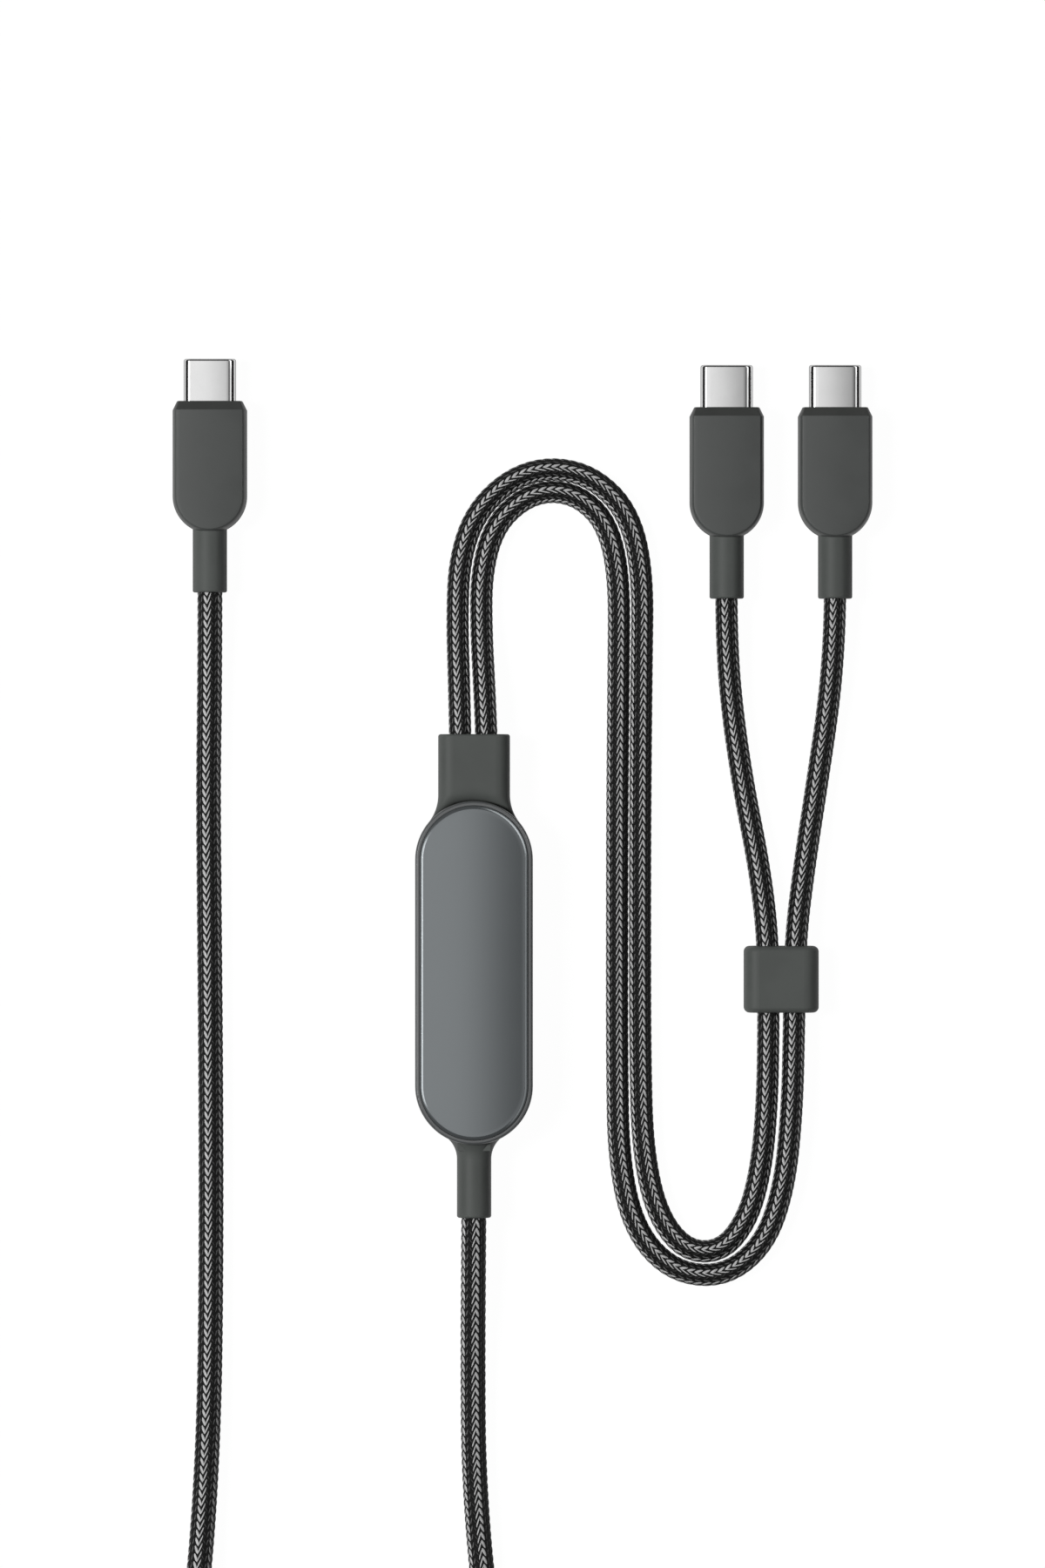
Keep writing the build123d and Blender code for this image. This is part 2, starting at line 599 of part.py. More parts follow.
# ---- assembly ----------------------------------------------------------------------------------
def hub_parts():
    """Every piece of the hub, by name, with its parting plane at z = 0."""
    plate = hub_plate()
    outlets = (-BRANCH_OFFSET, BRANCH_OFFSET)
    ring_back, ring_front, wire_end = CORD_END, CORD_END + 1.1, 16.5
    board_bottom = BOARD_TOP - BOARD_THICKNESS
    input_wires = wire_ends(0, -CORD_END, -wire_end, BOARD_TOP, board_bottom)
    output_wires = [w for x in outlets for w in wire_ends(x, CORD_END, wire_end, BOARD_TOP, board_bottom)]
    return {
        "top_plate": plate,
        "bottom_plate": mirror(plate, about=Plane.XY),
        "upper_shell": upper_shell(),
        "lower_shell": lower_shell(),
        "outlet_boot": twin_boot(),
        "inlet_boot": inlet_boot(),
        "inlet_crimp_ring": crimp_ring(INPUT_CORD, 0, -ring_front, -ring_back),
        "outlet_crimp_rings": [crimp_ring(BRANCH_CORD, x, ring_back, ring_front) for x in outlets],
        "input_wires": input_wires,
        "output_wires": output_wires,
        "circuit_board": circuit_board(),
        "controller_chip": chips((5.0, 5.0, 0.8), [(0, 0)]),
        "power_switches": chips((3.2, 3.2, 0.9), [(x, y) for x in (-3.4, 3.4) for y in (-7.0, 7.5)]),
        "sense_resistors": chips((3.2, 1.6, 0.6), [(-3.4, 11.2), (3.4, 11.2), (0, -10.6)]),
        "capacitors": chips((1.6, 0.9, 0.9), [(x, y) for x in (-4.4, 4.4) for y in (-2.4, 0.0, 2.4)]),
    }


def placed(parts, prefix, x, y, z):
    """Moves a set of named pieces into the assembly, and puts a prefix on their names."""
    moved = {}
    for name, shape in parts.items():
        solids = shape if isinstance(shape, list) else shape.solids()
        moved[prefix + name] = Compound([Pos(x, y, z) * solid for solid in solids])
    return moved


def assembly():
    """Every node of the object, by name, where it lies."""
    nodes = placed(hub_parts(), "hub_", 0, 0, HUB_MIDDLE)
    plugs = {"input_plug_": INPUT_PLUG, "left_plug_": LEFT_PLUG, "right_plug_": RIGHT_PLUG}
    for prefix, (x, y) in plugs.items():
        is_input = prefix.startswith("input")
        cord = INPUT_CORD if is_input else BRANCH_CORD
        nodes |= placed(plug_parts(cord, is_input), prefix, x, y, PLUG_MIDDLE)
    nodes |= placed({"slider": slider()}, "", *SLIDER_CENTRE, SLIDER_THICKNESS / 2)
    tie, _ = tie_band()
    nodes |= placed({"cord_tie": tie, "input_cord_coil": coil_ring()}, "", *COIL_CENTRE, 0)
    nodes["input_cord_lead"] = cord_tube(LEAD_ROUTE, INPUT_CORD)
    nodes["input_cord_tail"] = cord_tube(TAIL_ROUTE, INPUT_CORD)
    nodes["left_output_cord"] = cord_tube(LEFT_ROUTE, BRANCH_CORD)
    nodes["right_output_cord"] = cord_tube(RIGHT_ROUTE, BRANCH_CORD)
    return nodes


os.makedirs("parts", exist_ok=True)
for node_name, node_shape in assembly().items():
    export_step(node_shape, f"parts/{node_name}.step")
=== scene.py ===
import json
import math

import bmesh
import bpy
import numpy as np
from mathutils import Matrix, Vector


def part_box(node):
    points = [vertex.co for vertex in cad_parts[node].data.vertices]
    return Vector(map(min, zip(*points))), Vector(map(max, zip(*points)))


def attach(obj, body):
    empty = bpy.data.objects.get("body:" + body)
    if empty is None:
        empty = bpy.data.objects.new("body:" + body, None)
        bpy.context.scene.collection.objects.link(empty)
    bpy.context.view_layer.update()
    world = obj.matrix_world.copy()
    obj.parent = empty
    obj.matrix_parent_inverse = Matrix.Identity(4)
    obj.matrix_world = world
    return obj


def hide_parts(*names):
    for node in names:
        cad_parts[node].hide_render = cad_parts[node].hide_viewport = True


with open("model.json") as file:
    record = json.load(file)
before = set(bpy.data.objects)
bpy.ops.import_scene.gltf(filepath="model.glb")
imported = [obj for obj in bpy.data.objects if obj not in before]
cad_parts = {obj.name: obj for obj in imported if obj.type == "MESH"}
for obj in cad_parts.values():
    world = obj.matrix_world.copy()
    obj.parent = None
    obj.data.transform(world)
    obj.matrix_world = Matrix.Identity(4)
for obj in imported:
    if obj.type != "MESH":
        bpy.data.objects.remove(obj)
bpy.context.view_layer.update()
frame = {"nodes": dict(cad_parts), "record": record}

# A braided USB-C splitter cable lying flat on a pale table, seen square from above.
# Everything is in metres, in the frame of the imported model: +Y along the hub, +Z up from the table.

MM = 0.001
CABLE = "cable"

# ---- sizes ---------------------------------------------------------------------------------------
INPUT_CORD = 3.9 * MM
OUTPUT_CORD = 3.5 * MM
YARN_REPEAT = 1.27 * MM            # length of one chevron of the braid
RIB_PAIRS = 5                      # light ribs round a cord, each with a dark one beside it
RIB_SHIFT = 0.15                   # turns the ribs round the cord, in rib pairs
COLUMNS_PER_PAIR = 4               # two columns of yarn make a rib
YARN_SLOPES = 1.15, 0.68           # how many repeats a yarn climbs across an even and an odd column
YARN_RELIEF = 0.13 * MM            # from the bottom of the furrow between two yarns to a yarn's crown
RELIEF_AT_RADIUS = 0.75            # share of the relief that lies inside the cord's nominal radius

COIL_CENTRE = (-20.8 * MM, -123.0 * MM)
COIL_OUTER_TURN = 24.4 * MM
COIL_INNER_TURN = 20.5 * MM
COIL_LOWER = 1.95 * MM             # heights of the two layers of turns
COIL_UPPER = 5.75 * MM
COIL_TURNS = 3.5
COIL_POINTS_PER_TURN = 16
COIL_STEP_IN = 300, 362            # degrees from the coil's start where the cord changes turn or layer
COIL_CLIMB = 600, 672
COIL_STEP_OUT = 905, 972
TIE_THICKNESS = 0.8 * MM
TIE_ANGLE = 90                     # degrees from the coil's start
TIE_LIFT = 1.15 * TIE_THICKNESS    # the turns rise over the strap, and are down again within TIE_REACH of it
TIE_REACH = 12, 62
GRIP_EDGE = 0.75 * MM              # rounding along a grip's broad faces: across, and down its sides
GRIP_DROP = 2.4 * MM
GRIP_CROWN = 0.13                  # how much of its thickness a grip loses towards its sides

# ---- cord routes ---------------------------------------------------------------------------------
# Control points chosen one by one, the same as the route of each cord's solid.
LEAD_ROUTE = [
    (0.0, -0.0206, 0.0047),
    (0.0, -0.033, 0.0047),
    (-0.0001, -0.0465, 0.0042),
    (-0.0002, -0.061, 0.0022),
    (-0.0001, -0.078, 0.00195),
    (0.0012, -0.0955, 0.00195),
    (0.0034, -0.11, 0.00195),
    (0.0036, -0.123, 0.00195),
]
TAIL_ROUTE = [
    (-0.0452, -0.123, 0.00575),
    (-0.0449, -0.108, 0.0046),
    (-0.043, -0.0915, 0.0023),
    (-0.0418, -0.07, 0.00195),
    (-0.0415, -0.045, 0.00195),
    (-0.04155, -0.017, 0.00195),
    (-0.0418, 0.01, 0.00195),
    (-0.04195, 0.029, 0.00195),
    (-0.04175, 0.0435, 0.00225),
    (-0.04166, 0.055, 0.003),
    (-0.04166, 0.066, 0.0031),
    (-0.04166, 0.07655, 0.0031),
]
LEFT_ROUTE = [
    (-0.0021, 0.0206, 0.0047),
    (-0.0021, 0.0325, 0.0047),
    (-0.00235, 0.0445, 0.0041),
    (-0.0027, 0.0555, 0.0021),
    (-0.00235, 0.065, 0.00175),
    (0.0002, 0.0725, 0.00175),
    (0.0058, 0.0779, 0.00175),
    (0.0123, 0.0797, 0.00175),
    (0.019, 0.078, 0.00175),
    (0.0244, 0.0724, 0.00175),
    (0.0266, 0.063, 0.00175),
    (0.0264, 0.048, 0.00175),
    (0.0262, 0.028, 0.00175),
    (0.02615, 0.006, 0.00175),
    (0.0262, -0.014, 0.00175),
    (0.0266, -0.028, 0.00175),
    (0.0288, -0.0382, 0.00175),
    (0.0333, -0.044, 0.00175),
    (0.0391, -0.0441, 0.00175),
    (0.0432, -0.0389, 0.00175),
    (0.0453, -0.0308, 0.0024),
    (0.0462, -0.0205, 0.003),
    (0.0464, -0.0085, 0.003),
    (0.04635, 0.005, 0.003),
    (0.045, 0.0165, 0.0022),
    (0.0423, 0.03, 0.00175),
    (0.0404, 0.0435, 0.00215),
    (0.03975, 0.0545, 0.003),
    (0.03981, 0.065, 0.0031),
    (0.03981, 0.07557, 0.0031),
]
RIGHT_ROUTE = [
    (0.0021, 0.0206, 0.0047),
    (0.0021, 0.0325, 0.0047),
    (0.00165, 0.044, 0.0041),
    (0.0011, 0.054, 0.0021),
    (0.00115, 0.063, 0.00175),
    (0.0031, 0.0702, 0.00175),
    (0.0074, 0.0746, 0.00175),
    (0.0123, 0.0761, 0.00175),
    (0.0172, 0.0747, 0.00175),
    (0.0211, 0.0704, 0.00175),
    (0.0229, 0.0622, 0.00175),
    (0.0228, 0.048, 0.00175),
    (0.0226, 0.028, 0.00175),
    (0.02255, 0.006, 0.00175),
    (0.02255, -0.014, 0.00175),
    (0.0228, -0.03, 0.00175),
    (0.0254, -0.041, 0.00175),
    (0.0314, -0.0473, 0.00175),
    (0.0394, -0.0481, 0.00175),
    (0.0458, -0.043, 0.00175),
    (0.0489, -0.034, 0.0023),
    (0.0501, -0.022, 0.003),
    (0.05042, -0.009, 0.003),
    (0.0506, 0.005, 0.003),
    (0.0521, 0.017, 0.0022),
    (0.0542, 0.0305, 0.00175),
    (0.0561, 0.0435, 0.00215),
    (0.05685, 0.0545, 0.003),
    (0.0569, 0.065, 0.0031),
    (0.0569, 0.07557, 0.0031),
]


# ---- small helpers -------------------------------------------------------------------------------
def smooth_step(x, low, high):
    """0 below low, 1 above high, and a smooth cubic between them."""
    t = np.clip((x - low) / (high - low), 0.0, 1.0)
    return t * t * (3 - 2 * t)


def unit(vectors):
    """Each row scaled to length one."""
    return vectors / np.linalg.norm(vectors, axis=-1, keepdims=True)


def grid_faces(rings, around, closed):
    """Quads between neighbouring rings of a grid, as rows of four vertex numbers."""
    last = around if closed else around - 1
    ring, column = np.meshgrid(np.arange(rings - 1), np.arange(last), indexing="ij")
    following = (column + 1) % around
    corners = (ring * around + column, (ring + 1) * around + column,
               (ring + 1) * around + following, ring * around + following)
    return np.stack(corners, axis=-1).reshape(-1, 4)


def make_piece(name, points, faces, uvs=None, caps=()):
    """A mesh object from an array of points and of quads. Each cap is a loop of vertex numbers that a fan
    closes. uvs holds one pair for each corner of each quad."""
    mesh = bpy.data.meshes.new(name)
    mesh.from_pydata(points.tolist(), [], faces.tolist() + [list(cap) for cap in caps])
    mesh.polygons.foreach_set("use_smooth", np.ones(len(mesh.polygons), bool))
    if uvs is not None:
        layer = mesh.uv_layers.new(name="along")
        flat = np.zeros((len(mesh.loops), 2), np.float32)
        flat[:len(uvs)] = uvs
        layer.data.foreach_set("uv", flat.ravel())
    mesh.validate()
    mesh.update()
    piece = bpy.data.objects.new(name, mesh)
    bpy.context.scene.collection.objects.link(piece)
    return piece


def tidy_mesh(piece, merge=1e-6, sharp_degrees=None):
    """Merges doubles, points every face outwards, and marks the edges that turn more than sharp_degrees."""
    solid = bmesh.new()
    solid.from_mesh(piece.data)
    bmesh.ops.remove_doubles(solid, verts=solid.verts, dist=merge)
    bmesh.ops.recalc_face_normals(solid, faces=solid.faces)
    solid.to_mesh(piece.data)
    solid.free()
    if sharp_degrees is not None:
        piece.data.set_sharp_from_angle(angle=math.radians(sharp_degrees))
    return piece


def thicken(piece, wall):
    """Gives an open shell a wall on its inside."""
    solidify = piece.modifiers.new("wall", "SOLIDIFY")
    solidify.thickness = wall
    solidify.offset = -1.0
    bpy.context.view_layer.update()
    walled = bpy.data.meshes.new_from_object(piece.evaluated_get(bpy.context.evaluated_depsgraph_get()))
    piece.modifiers.clear()
    piece.data = walled
    return piece


# ---- cords ---------------------------------------------------------------------------------------
def coil_route():
    """Control points of the coiled turns, clockwise from above. They stand a little outside the turns'
    circle, so that the spline touches it halfway between them. The cord goes once round outside, steps in
    for a turn, climbs to the upper layer for a turn, and steps out for the last half turn."""
    step = 2 * math.pi / COIL_POINTS_PER_TURN
    corner = 1 / math.cos(step / 2)
    points = []
    for number in range(int(COIL_TURNS * COIL_POINTS_PER_TURN)):
        angle = (number + 0.5) * step
        turned = math.degrees(angle)
        inwards = smooth_step(turned, *COIL_STEP_IN) - smooth_step(turned, *COIL_STEP_OUT)
        radius = COIL_OUTER_TURN + (COIL_INNER_TURN - COIL_OUTER_TURN) * inwards
        height = COIL_LOWER + (COIL_UPPER - COIL_LOWER) * smooth_step(turned, *COIL_CLIMB)
        from_tie = abs((turned - TIE_ANGLE + 180) % 360 - 180)
        height += TIE_LIFT * (1 - smooth_step(from_tie, *TIE_REACH))
        points.append((COIL_CENTRE[0] + radius * corner * math.cos(-angle),
                       COIL_CENTRE[1] + radius * corner * math.sin(-angle), height))
    return points


def spline_through(name, route):
    """The smooth line of a route: a quadratic NURBS spline with the route as its control points, read back
    as closely spaced points."""
    curve = bpy.data.curves.new(name, "CURVE")
    curve.dimensions = "3D"
    curve.resolution_u = 48
    spline = curve.splines.new("NURBS")
    spline.points.add(len(route) - 1)
    for point, place in zip(spline.points, route):
        point.co = (*place, 1.0)
    spline.order_u = 3
    spline.use_endpoint_u = True
    carrier = bpy.data.objects.new(name, curve)
    bpy.context.scene.collection.objects.link(carrier)
    bpy.context.view_layer.update()
    mesh = bpy.data.meshes.new_from_object(carrier.evaluated_get(bpy.context.evaluated_depsgraph_get()))
    line = np.empty(len(mesh.vertices) * 3)
    mesh.vertices.foreach_get("co", line)
    bpy.data.meshes.remove(mesh)
    bpy.data.objects.remove(carrier)
    return line.reshape(-1, 3)


def spaced(line, distances):
    """Points of a line at the given distances from its start."""
    travelled = np.r_[0.0, np.cumsum(np.linalg.norm(np.diff(line, axis=0), axis=1))]
    return np.stack([np.interp(distances, travelled, line[:, k]) for k in range(3)], axis=1)


def line_length(line):
    return float(np.linalg.norm(np.diff(line, axis=0), axis=1).sum())


def yarn_relief(turn, repeats):
    """Height of the braid, from 0 in a furrow to 1 on a yarn's crown. Each column holds parallel slanting
    yarns, alternate columns slant opposite ways, and a yarn dips under at its column's edges."""
    across = (turn * RIB_PAIRS - RIB_SHIFT) * COLUMNS_PER_PAIR
    column = np.floor(across)
    inside = across - column
    odd = column % 2 == 1
    climb = np.where(odd, YARN_SLOPES[1] * inside, YARN_SLOPES[0] * (1 - inside))
    phase = (repeats - climb) % 1.0
    crown = np.sin(math.pi * phase) ** 0.6
    edge = 1 - np.abs(2 * inside - 1) ** 3
    return crown * (0.25 + 0.75 * edge)


def ring_distances(line, fine_from, fine_to, fine, coarse):
    """Distances of a cord's rings from its start. Each repeat of the braid has fine of them where y is
    between fine_from and fine_to, where the cord lies open, and coarse of them elsewhere."""
    total = line_length(line)
    marks = np.arange(0.0, total, YARN_REPEAT / fine)
    y = spaced(line, marks)[:, 1]
    is_open = (y > fine_from) & (y < fine_to)
    kept = is_open | (np.arange(len(marks)) % (fine // coarse) == 0)
    return np.r_[marks[kept], total]


def braided_cord(name, line, diameter, distances, across_column):
    """A braided tube: rings of points carried along the line. Each point stands off the line by half the
    diameter, a little more on a yarn's crown and a little less in a furrow. across_column points cross each
    column of yarn."""
    around = RIB_PAIRS * COLUMNS_PER_PAIR * across_column
    centres = spaced(line, distances)
    reach = 0.4 * MM
    along = unit(spaced(line, distances + reach) - spaced(line, distances - reach))
    side = unit(np.cross(along, (0.0, 0.0, 1.0)))
    up = np.cross(side, along)
    turn = np.arange(around) / around
    angle = turn * 2 * math.pi
    repeats = distances / YARN_REPEAT
    relief = yarn_relief(turn[None, :], repeats[:, None])
    radius = diameter / 2 + YARN_RELIEF * (relief - RELIEF_AT_RADIUS)
    points = centres[:, None] + radius[..., None] * (
        side[:, None] * np.cos(angle)[None, :, None] + up[:, None] * np.sin(angle)[None, :, None])
    rings = len(distances)
    faces = grid_faces(rings, around, closed=True)
    ring, column = np.divmod(faces, around)
    wrapped = np.where((column == 0) & (np.arange(4) >= 2), around, column)
    uvs = np.stack([wrapped / around * RIB_PAIRS - RIB_SHIFT, repeats[ring]], axis=-1).reshape(-1, 2)
    first = np.arange(around)
    caps = (first, (first + (rings - 1) * around)[::-1])
    cord = make_piece(name, points.reshape(-1, 3), faces, uvs, caps)
    return cord, centres


# ---- covers of the hub ---------------------------------------------------------------------------
def cover_plate(name, node, upwards):
    """A glossy capsule: a profile of (distance from the middle line, height) pairs carried round it. The
    profile climbs the side, turns over the bevel, and crowns gently to the middle line, from where the
    height falls off with the square of the distance."""
    low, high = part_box(node)
    reach = (high.x - low.x) / 2
    run = (high.y - low.y) / 2 - reach
    thick = high.z - low.z
    bevel_across, bevel_down, crown, crest = 0.6 * MM, 0.22 * MM, 0.42 * MM, 0.16 * MM
    corner, foot = 0.12 * MM, 0.3 * MM
    inner = reach - bevel_across
    rim = thick - crown - bevel_down
    profile = [(reach - foot, 0.0), (reach, 0.0), (reach, rim - corner)]
    slope = math.atan2(bevel_down, bevel_across)
    for share in np.linspace(0, 1, 5):
        bend = share * (math.pi / 2 - slope)
        profile.append((reach - corner * (1 - math.cos(bend)), rim - corner + corner * math.sin(bend)))
    for share in np.linspace(0, 1, 7):
        bend = slope * (1 - share)
        profile.append((inner - crest * (share - 0.5), thick - crown - crest / 2 * bend * bend / slope / 2))
    for share in np.linspace(0.06, 1, 14):
        distance = (inner - crest / 2) * (1 - share)
        profile.append((distance, thick - crown * (distance / (inner - crest / 2)) ** 2))
    distance, height = np.array(profile).T
    around = 128
    angle = (np.arange(around) + 0.5) / around * 2 * math.pi
    x = distance[:, None] * np.cos(angle)
    y = distance[:, None] * np.sin(angle) + run * np.sign(np.sin(angle))
    z = np.broadcast_to(height[:, None], x.shape)
    z = low.z + z if upwards else high.z - z
    points = np.stack([x, y, z], axis=-1)
    closing = np.stack([x[0] * 0.0, y[0] * 0 + run * np.sign(np.sin(angle)), z[0]], axis=-1)
    points = np.concatenate([closing[None], points])
    faces = grid_faces(len(points), around, closed=True)
    plate = make_piece(name, points.reshape(-1, 3), faces)
    tidy_mesh(plate, sharp_degrees=50)
    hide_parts(node)
    return plate


# ---- outlet boot ---------------------------------------------------------------------------------
def outlet_boot(name, node, hub):
    """The boot of the two output cords: rounded sections carried along Y. The half width grows along a
    hollow arc until it touches the hub's round end, and then stays just inside that circle. Close to the
    hub's side the height falls along a round shoulder, sqrt(1 - t^2), into a narrow groove."""
    low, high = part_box(node)
    hub_low, hub_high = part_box(hub)
    rim = (hub_high.x - hub_low.x) / 2
    end_centre = hub_high.y - rim
    middle_z = (low.z + high.z) / 2
    half, tall, side_round, flare = 5.65 * MM, 3.3 * MM, 2.3 * MM, 7.0 * MM
    lip, shoulder, fall, tuck = 0.4 * MM, 2.0 * MM, 1.5 * MM, 0.08 * MM
    arc_y = end_centre + math.sqrt((rim + flare) ** 2 - (half + flare) ** 2)
    touch_y = end_centre + (arc_y - end_centre) * rim / (rim + flare)
    bend = np.linspace(0, math.pi / 2, 7)[1:]
    along = np.r_[np.linspace(touch_y - 2 * MM, touch_y, 10)[:-1], np.linspace(touch_y, arc_y, 40),
                  np.linspace(arc_y, high.y - lip, 16)[1:], high.y - lip + lip * np.sin(bend)]
    inset = np.r_[np.zeros(len(along) - len(bend)), lip * (1 - np.cos(bend))]
    hollow = half + flare - np.sqrt(flare ** 2 - np.clip(arc_y - along, 0, arc_y - touch_y) ** 2)
    inside_hub = np.sqrt(np.clip(rim ** 2 - (along - end_centre) ** 2, 0, None)) - tuck
    wide = np.where(along < touch_y, inside_hub, hollow) - inset
    corner = np.linspace(0, math.pi / 2, 10)
    flat = np.linspace(0, 1, 14)[1:]
    radius = side_round - inset
    x = np.concatenate([wide[:, None] * [1.0, 1.0],
                        wide[:, None] - radius[:, None] * (1 - np.cos(corner[1:])),
                        (wide - radius)[:, None] * (1 - flat)], axis=1)
    straight = tall - side_round
    z = np.concatenate([straight * np.array([[0.0, 1.0]]) + 0 * wide[:, None],
                        straight + radius[:, None] * np.sin(corner[1:]),
                        (straight + radius)[:, None] + 0 * flat], axis=1)
    distance = np.hypot(x, along[:, None] - end_centre) - rim
    nearness = np.clip(1 - distance / shoulder, 0, 1)
    z = z * (1 - fall / tall * (1 - np.sqrt(1 - nearness ** 2)))
    ring_x = np.concatenate([x, -x[:, -2::-1], -x[:, 1:], x[:, -2:0:-1]], axis=1)
    ring_z = np.concatenate([z, z[:, -2::-1], -z[:, 1:], -z[:, -2:0:-1]], axis=1)
    points = np.stack([ring_x, np.broadcast_to(along[:, None], ring_x.shape), middle_z + ring_z], axis=-1)
    rings, around = ring_x.shape
    first = np.arange(around)
    caps = (first, (first + (rings - 1) * around)[::-1])
    boot = make_piece(name, points.reshape(-1, 3), grid_faces(rings, around, closed=True), caps=caps)
    tidy_mesh(boot, sharp_degrees=50)
    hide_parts(node)
    return boot


# ---- plugs ---------------------------------------------------------------------------------------
def grip_shell(name, node):
    """A plug's grip, open at the front: a profile of (inset, height) pairs carried round a plan with
    straight sides and a round rear end. Both broad faces are crowned across: heights shrink with the square
    of x."""
    low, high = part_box(node)
    half = (high.x - low.x) / 2
    middle_x, middle_z = (low.x + high.x) / 2, (low.z + high.z) / 2
    tall = (high.z - low.z) / 2
    rear = low.y + half
    bend = np.linspace(0, math.pi / 2, 17)
    rounded = np.stack([GRIP_EDGE * (1 - np.cos(bend)), tall - GRIP_DROP + GRIP_DROP * np.sin(bend)], axis=1)
    flat = np.stack([np.linspace(GRIP_EDGE, half, 12)[1:], np.full(11, tall)], axis=1)
    upper = np.concatenate([[(0.0, 0.0)], rounded, flat])
    profile = np.concatenate([(upper * (1, -1))[:0:-1], upper])
    straight = np.linspace(high.y, rear, 10)[:-1]
    turn = np.linspace(0, -math.pi, 49)
    level = np.zeros(len(straight))
    plan_x = np.r_[level + 1, np.cos(turn), level - 1]
    plan_y = np.r_[level, np.sin(turn), level]
    base_y = np.r_[straight, np.full(len(turn), rear), straight[::-1]]
    inset, height = profile.T
    x = (half - inset)[:, None] * plan_x
    y = base_y + (half - inset)[:, None] * plan_y
    z = height[:, None] * (1 - GRIP_CROWN * (x / half) ** 2)
    points = np.stack([middle_x + x, y, middle_z + z], axis=-1)
    grip = make_piece(name, points.reshape(-1, 3), grid_faces(*x.shape, closed=False))
    tidy_mesh(grip)
    thicken(grip, 0.9 * MM)
    tidy_mesh(grip, sharp_degrees=40)
    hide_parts(node)
    return grip


def rounded_ring(half, tall, across, down):
    """Outline of a rectangle with elliptic corners, as x and z: four quarter turns and two broad sides.
    Every outline has the same number of points, so that outlines join into a surface."""
    bend = np.linspace(0, math.pi / 2, 17)
    flat = np.linspace(1, -1, 21)[1:-1] * (half - across)
    quarters = []
    for number, (side, rise) in enumerate(((1, 1), (-1, 1), (-1, -1), (1, -1))):
        angle = bend + number * math.pi / 2
        quarters.append((side * (half - across) + across * np.cos(angle),
                         rise * (tall - down) + down * np.sin(angle)))
    upper, lower = (flat, flat * 0 + tall), (-flat, flat * 0 - tall)
    return np.concatenate([quarters[0], upper, quarters[1], quarters[2], lower, quarters[3]], axis=1)


def nose_ring(name, node, grip_node, tongue_node):
    """The tapered nose between grip and tongue. Outlines are carried along Y: they follow the grip's crowned
    section at its front edge, shrink evenly to the front face, and turn back through the tongue's slot."""
    low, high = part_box(grip_node)
    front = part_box(node)[1].y
    tongue_low, tongue_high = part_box(tongue_node)
    half, tall = (high.x - low.x) / 2, (high.z - low.z) / 2
    slot_half, slot_tall = (tongue_high.x - tongue_low.x) / 2, (tongue_high.z - tongue_low.z) / 2
    taper, tucked, root = 0.7 * MM, 0.95 * MM, high.y - 1.2 * MM
    gap, brow, lip = 0.02 * MM, 0.12 * MM, 0.03 * MM
    rings = [(root, tucked), (high.y, tucked), (high.y, gap), (front - brow, 0.93 * taper),
             (front - lip, taper), (front, 1.15 * taper)]
    points = []
    for y, inset in rings:
        x, z = rounded_ring(half - inset, tall - inset, GRIP_EDGE - 0.5 * inset, GRIP_DROP - inset)
        points.append(np.stack([x, np.full(len(x), y), z * (1 - GRIP_CROWN * (x / half) ** 2)], axis=1))
    for y in (front, root):
        x, z = rounded_ring(slot_half, slot_tall, slot_tall * 0.98, slot_tall * 0.98)
        points.append(np.stack([x, np.full(len(x), y), z], axis=1))
    points.append(points[0])
    points = np.stack(points) + ((low.x + high.x) / 2, 0.0, (low.z + high.z) / 2)
    around = points.shape[1]
    nose = make_piece(name, points.reshape(-1, 3), grid_faces(len(points), around, closed=True))
    tidy_mesh(nose, sharp_degrees=40)
    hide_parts(node)
    return nose


def tongue_shell(name, node):
    """The steel tongue: a flattened round section carried along Y, with a rounded lip that turns into the
    mouth. Its broad faces are crowned a little: heights shrink with the square of x."""
    low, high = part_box(node)
    half, tall = (high.x - low.x) / 2, (high.z - low.z) / 2
    lip, wall, mouth, crown = 0.4 * MM, 0.25 * MM, 0.46 * MM, 0.09
    reach = high.y - low.y
    bend = np.linspace(0, math.pi / 2, 7)
    steps = [(0.0, 0.0), (0.0, reach - 2 * MM)]
    steps += list(zip(lip * (1 - np.cos(bend)), reach - lip + lip * np.sin(bend)))
    steps += [(mouth - 0.03 * MM, reach), (mouth, reach - 0.03 * MM), (mouth, reach - 0.5 * MM),
              (wall, reach - 0.7 * MM), (wall, 0.0)]
    inset, along = np.array(steps).T
    flat = np.linspace(-1, 1, 17)[1:-1]
    turn = np.linspace(-math.pi / 2, math.pi / 2, 25)
    end, broad = np.ones(len(turn)), np.zeros(len(flat))
    side = np.r_[end, -flat, -end, flat]
    cosine = np.r_[np.cos(turn), broad, -np.cos(turn), broad]
    sine = np.r_[np.sin(turn), broad + 1, np.sin(turn[::-1]), broad - 1]
    corner = half - tall
    x = side * corner + cosine * (tall - inset)[:, None]
    z = sine * (tall - inset)[:, None] * (1 - crown * (x / half) ** 2)
    y = np.broadcast_to(along[:, None], x.shape)
    points = np.stack([(low.x + high.x) / 2 + x, low.y + y, (low.z + high.z) / 2 + z], axis=-1)
    rings, around = x.shape
    faces = grid_faces(rings, around, closed=True)
    first = np.arange(around)
    last = first + (rings - 1) * around
    rear = np.stack([first, np.roll(first, -1), np.roll(last, -1), last], axis=1)
    tongue = make_piece(name, points.reshape(-1, 3), np.concatenate([faces, rear]))
    tidy_mesh(tongue, sharp_degrees=40)
    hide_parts(node)
    return tongue


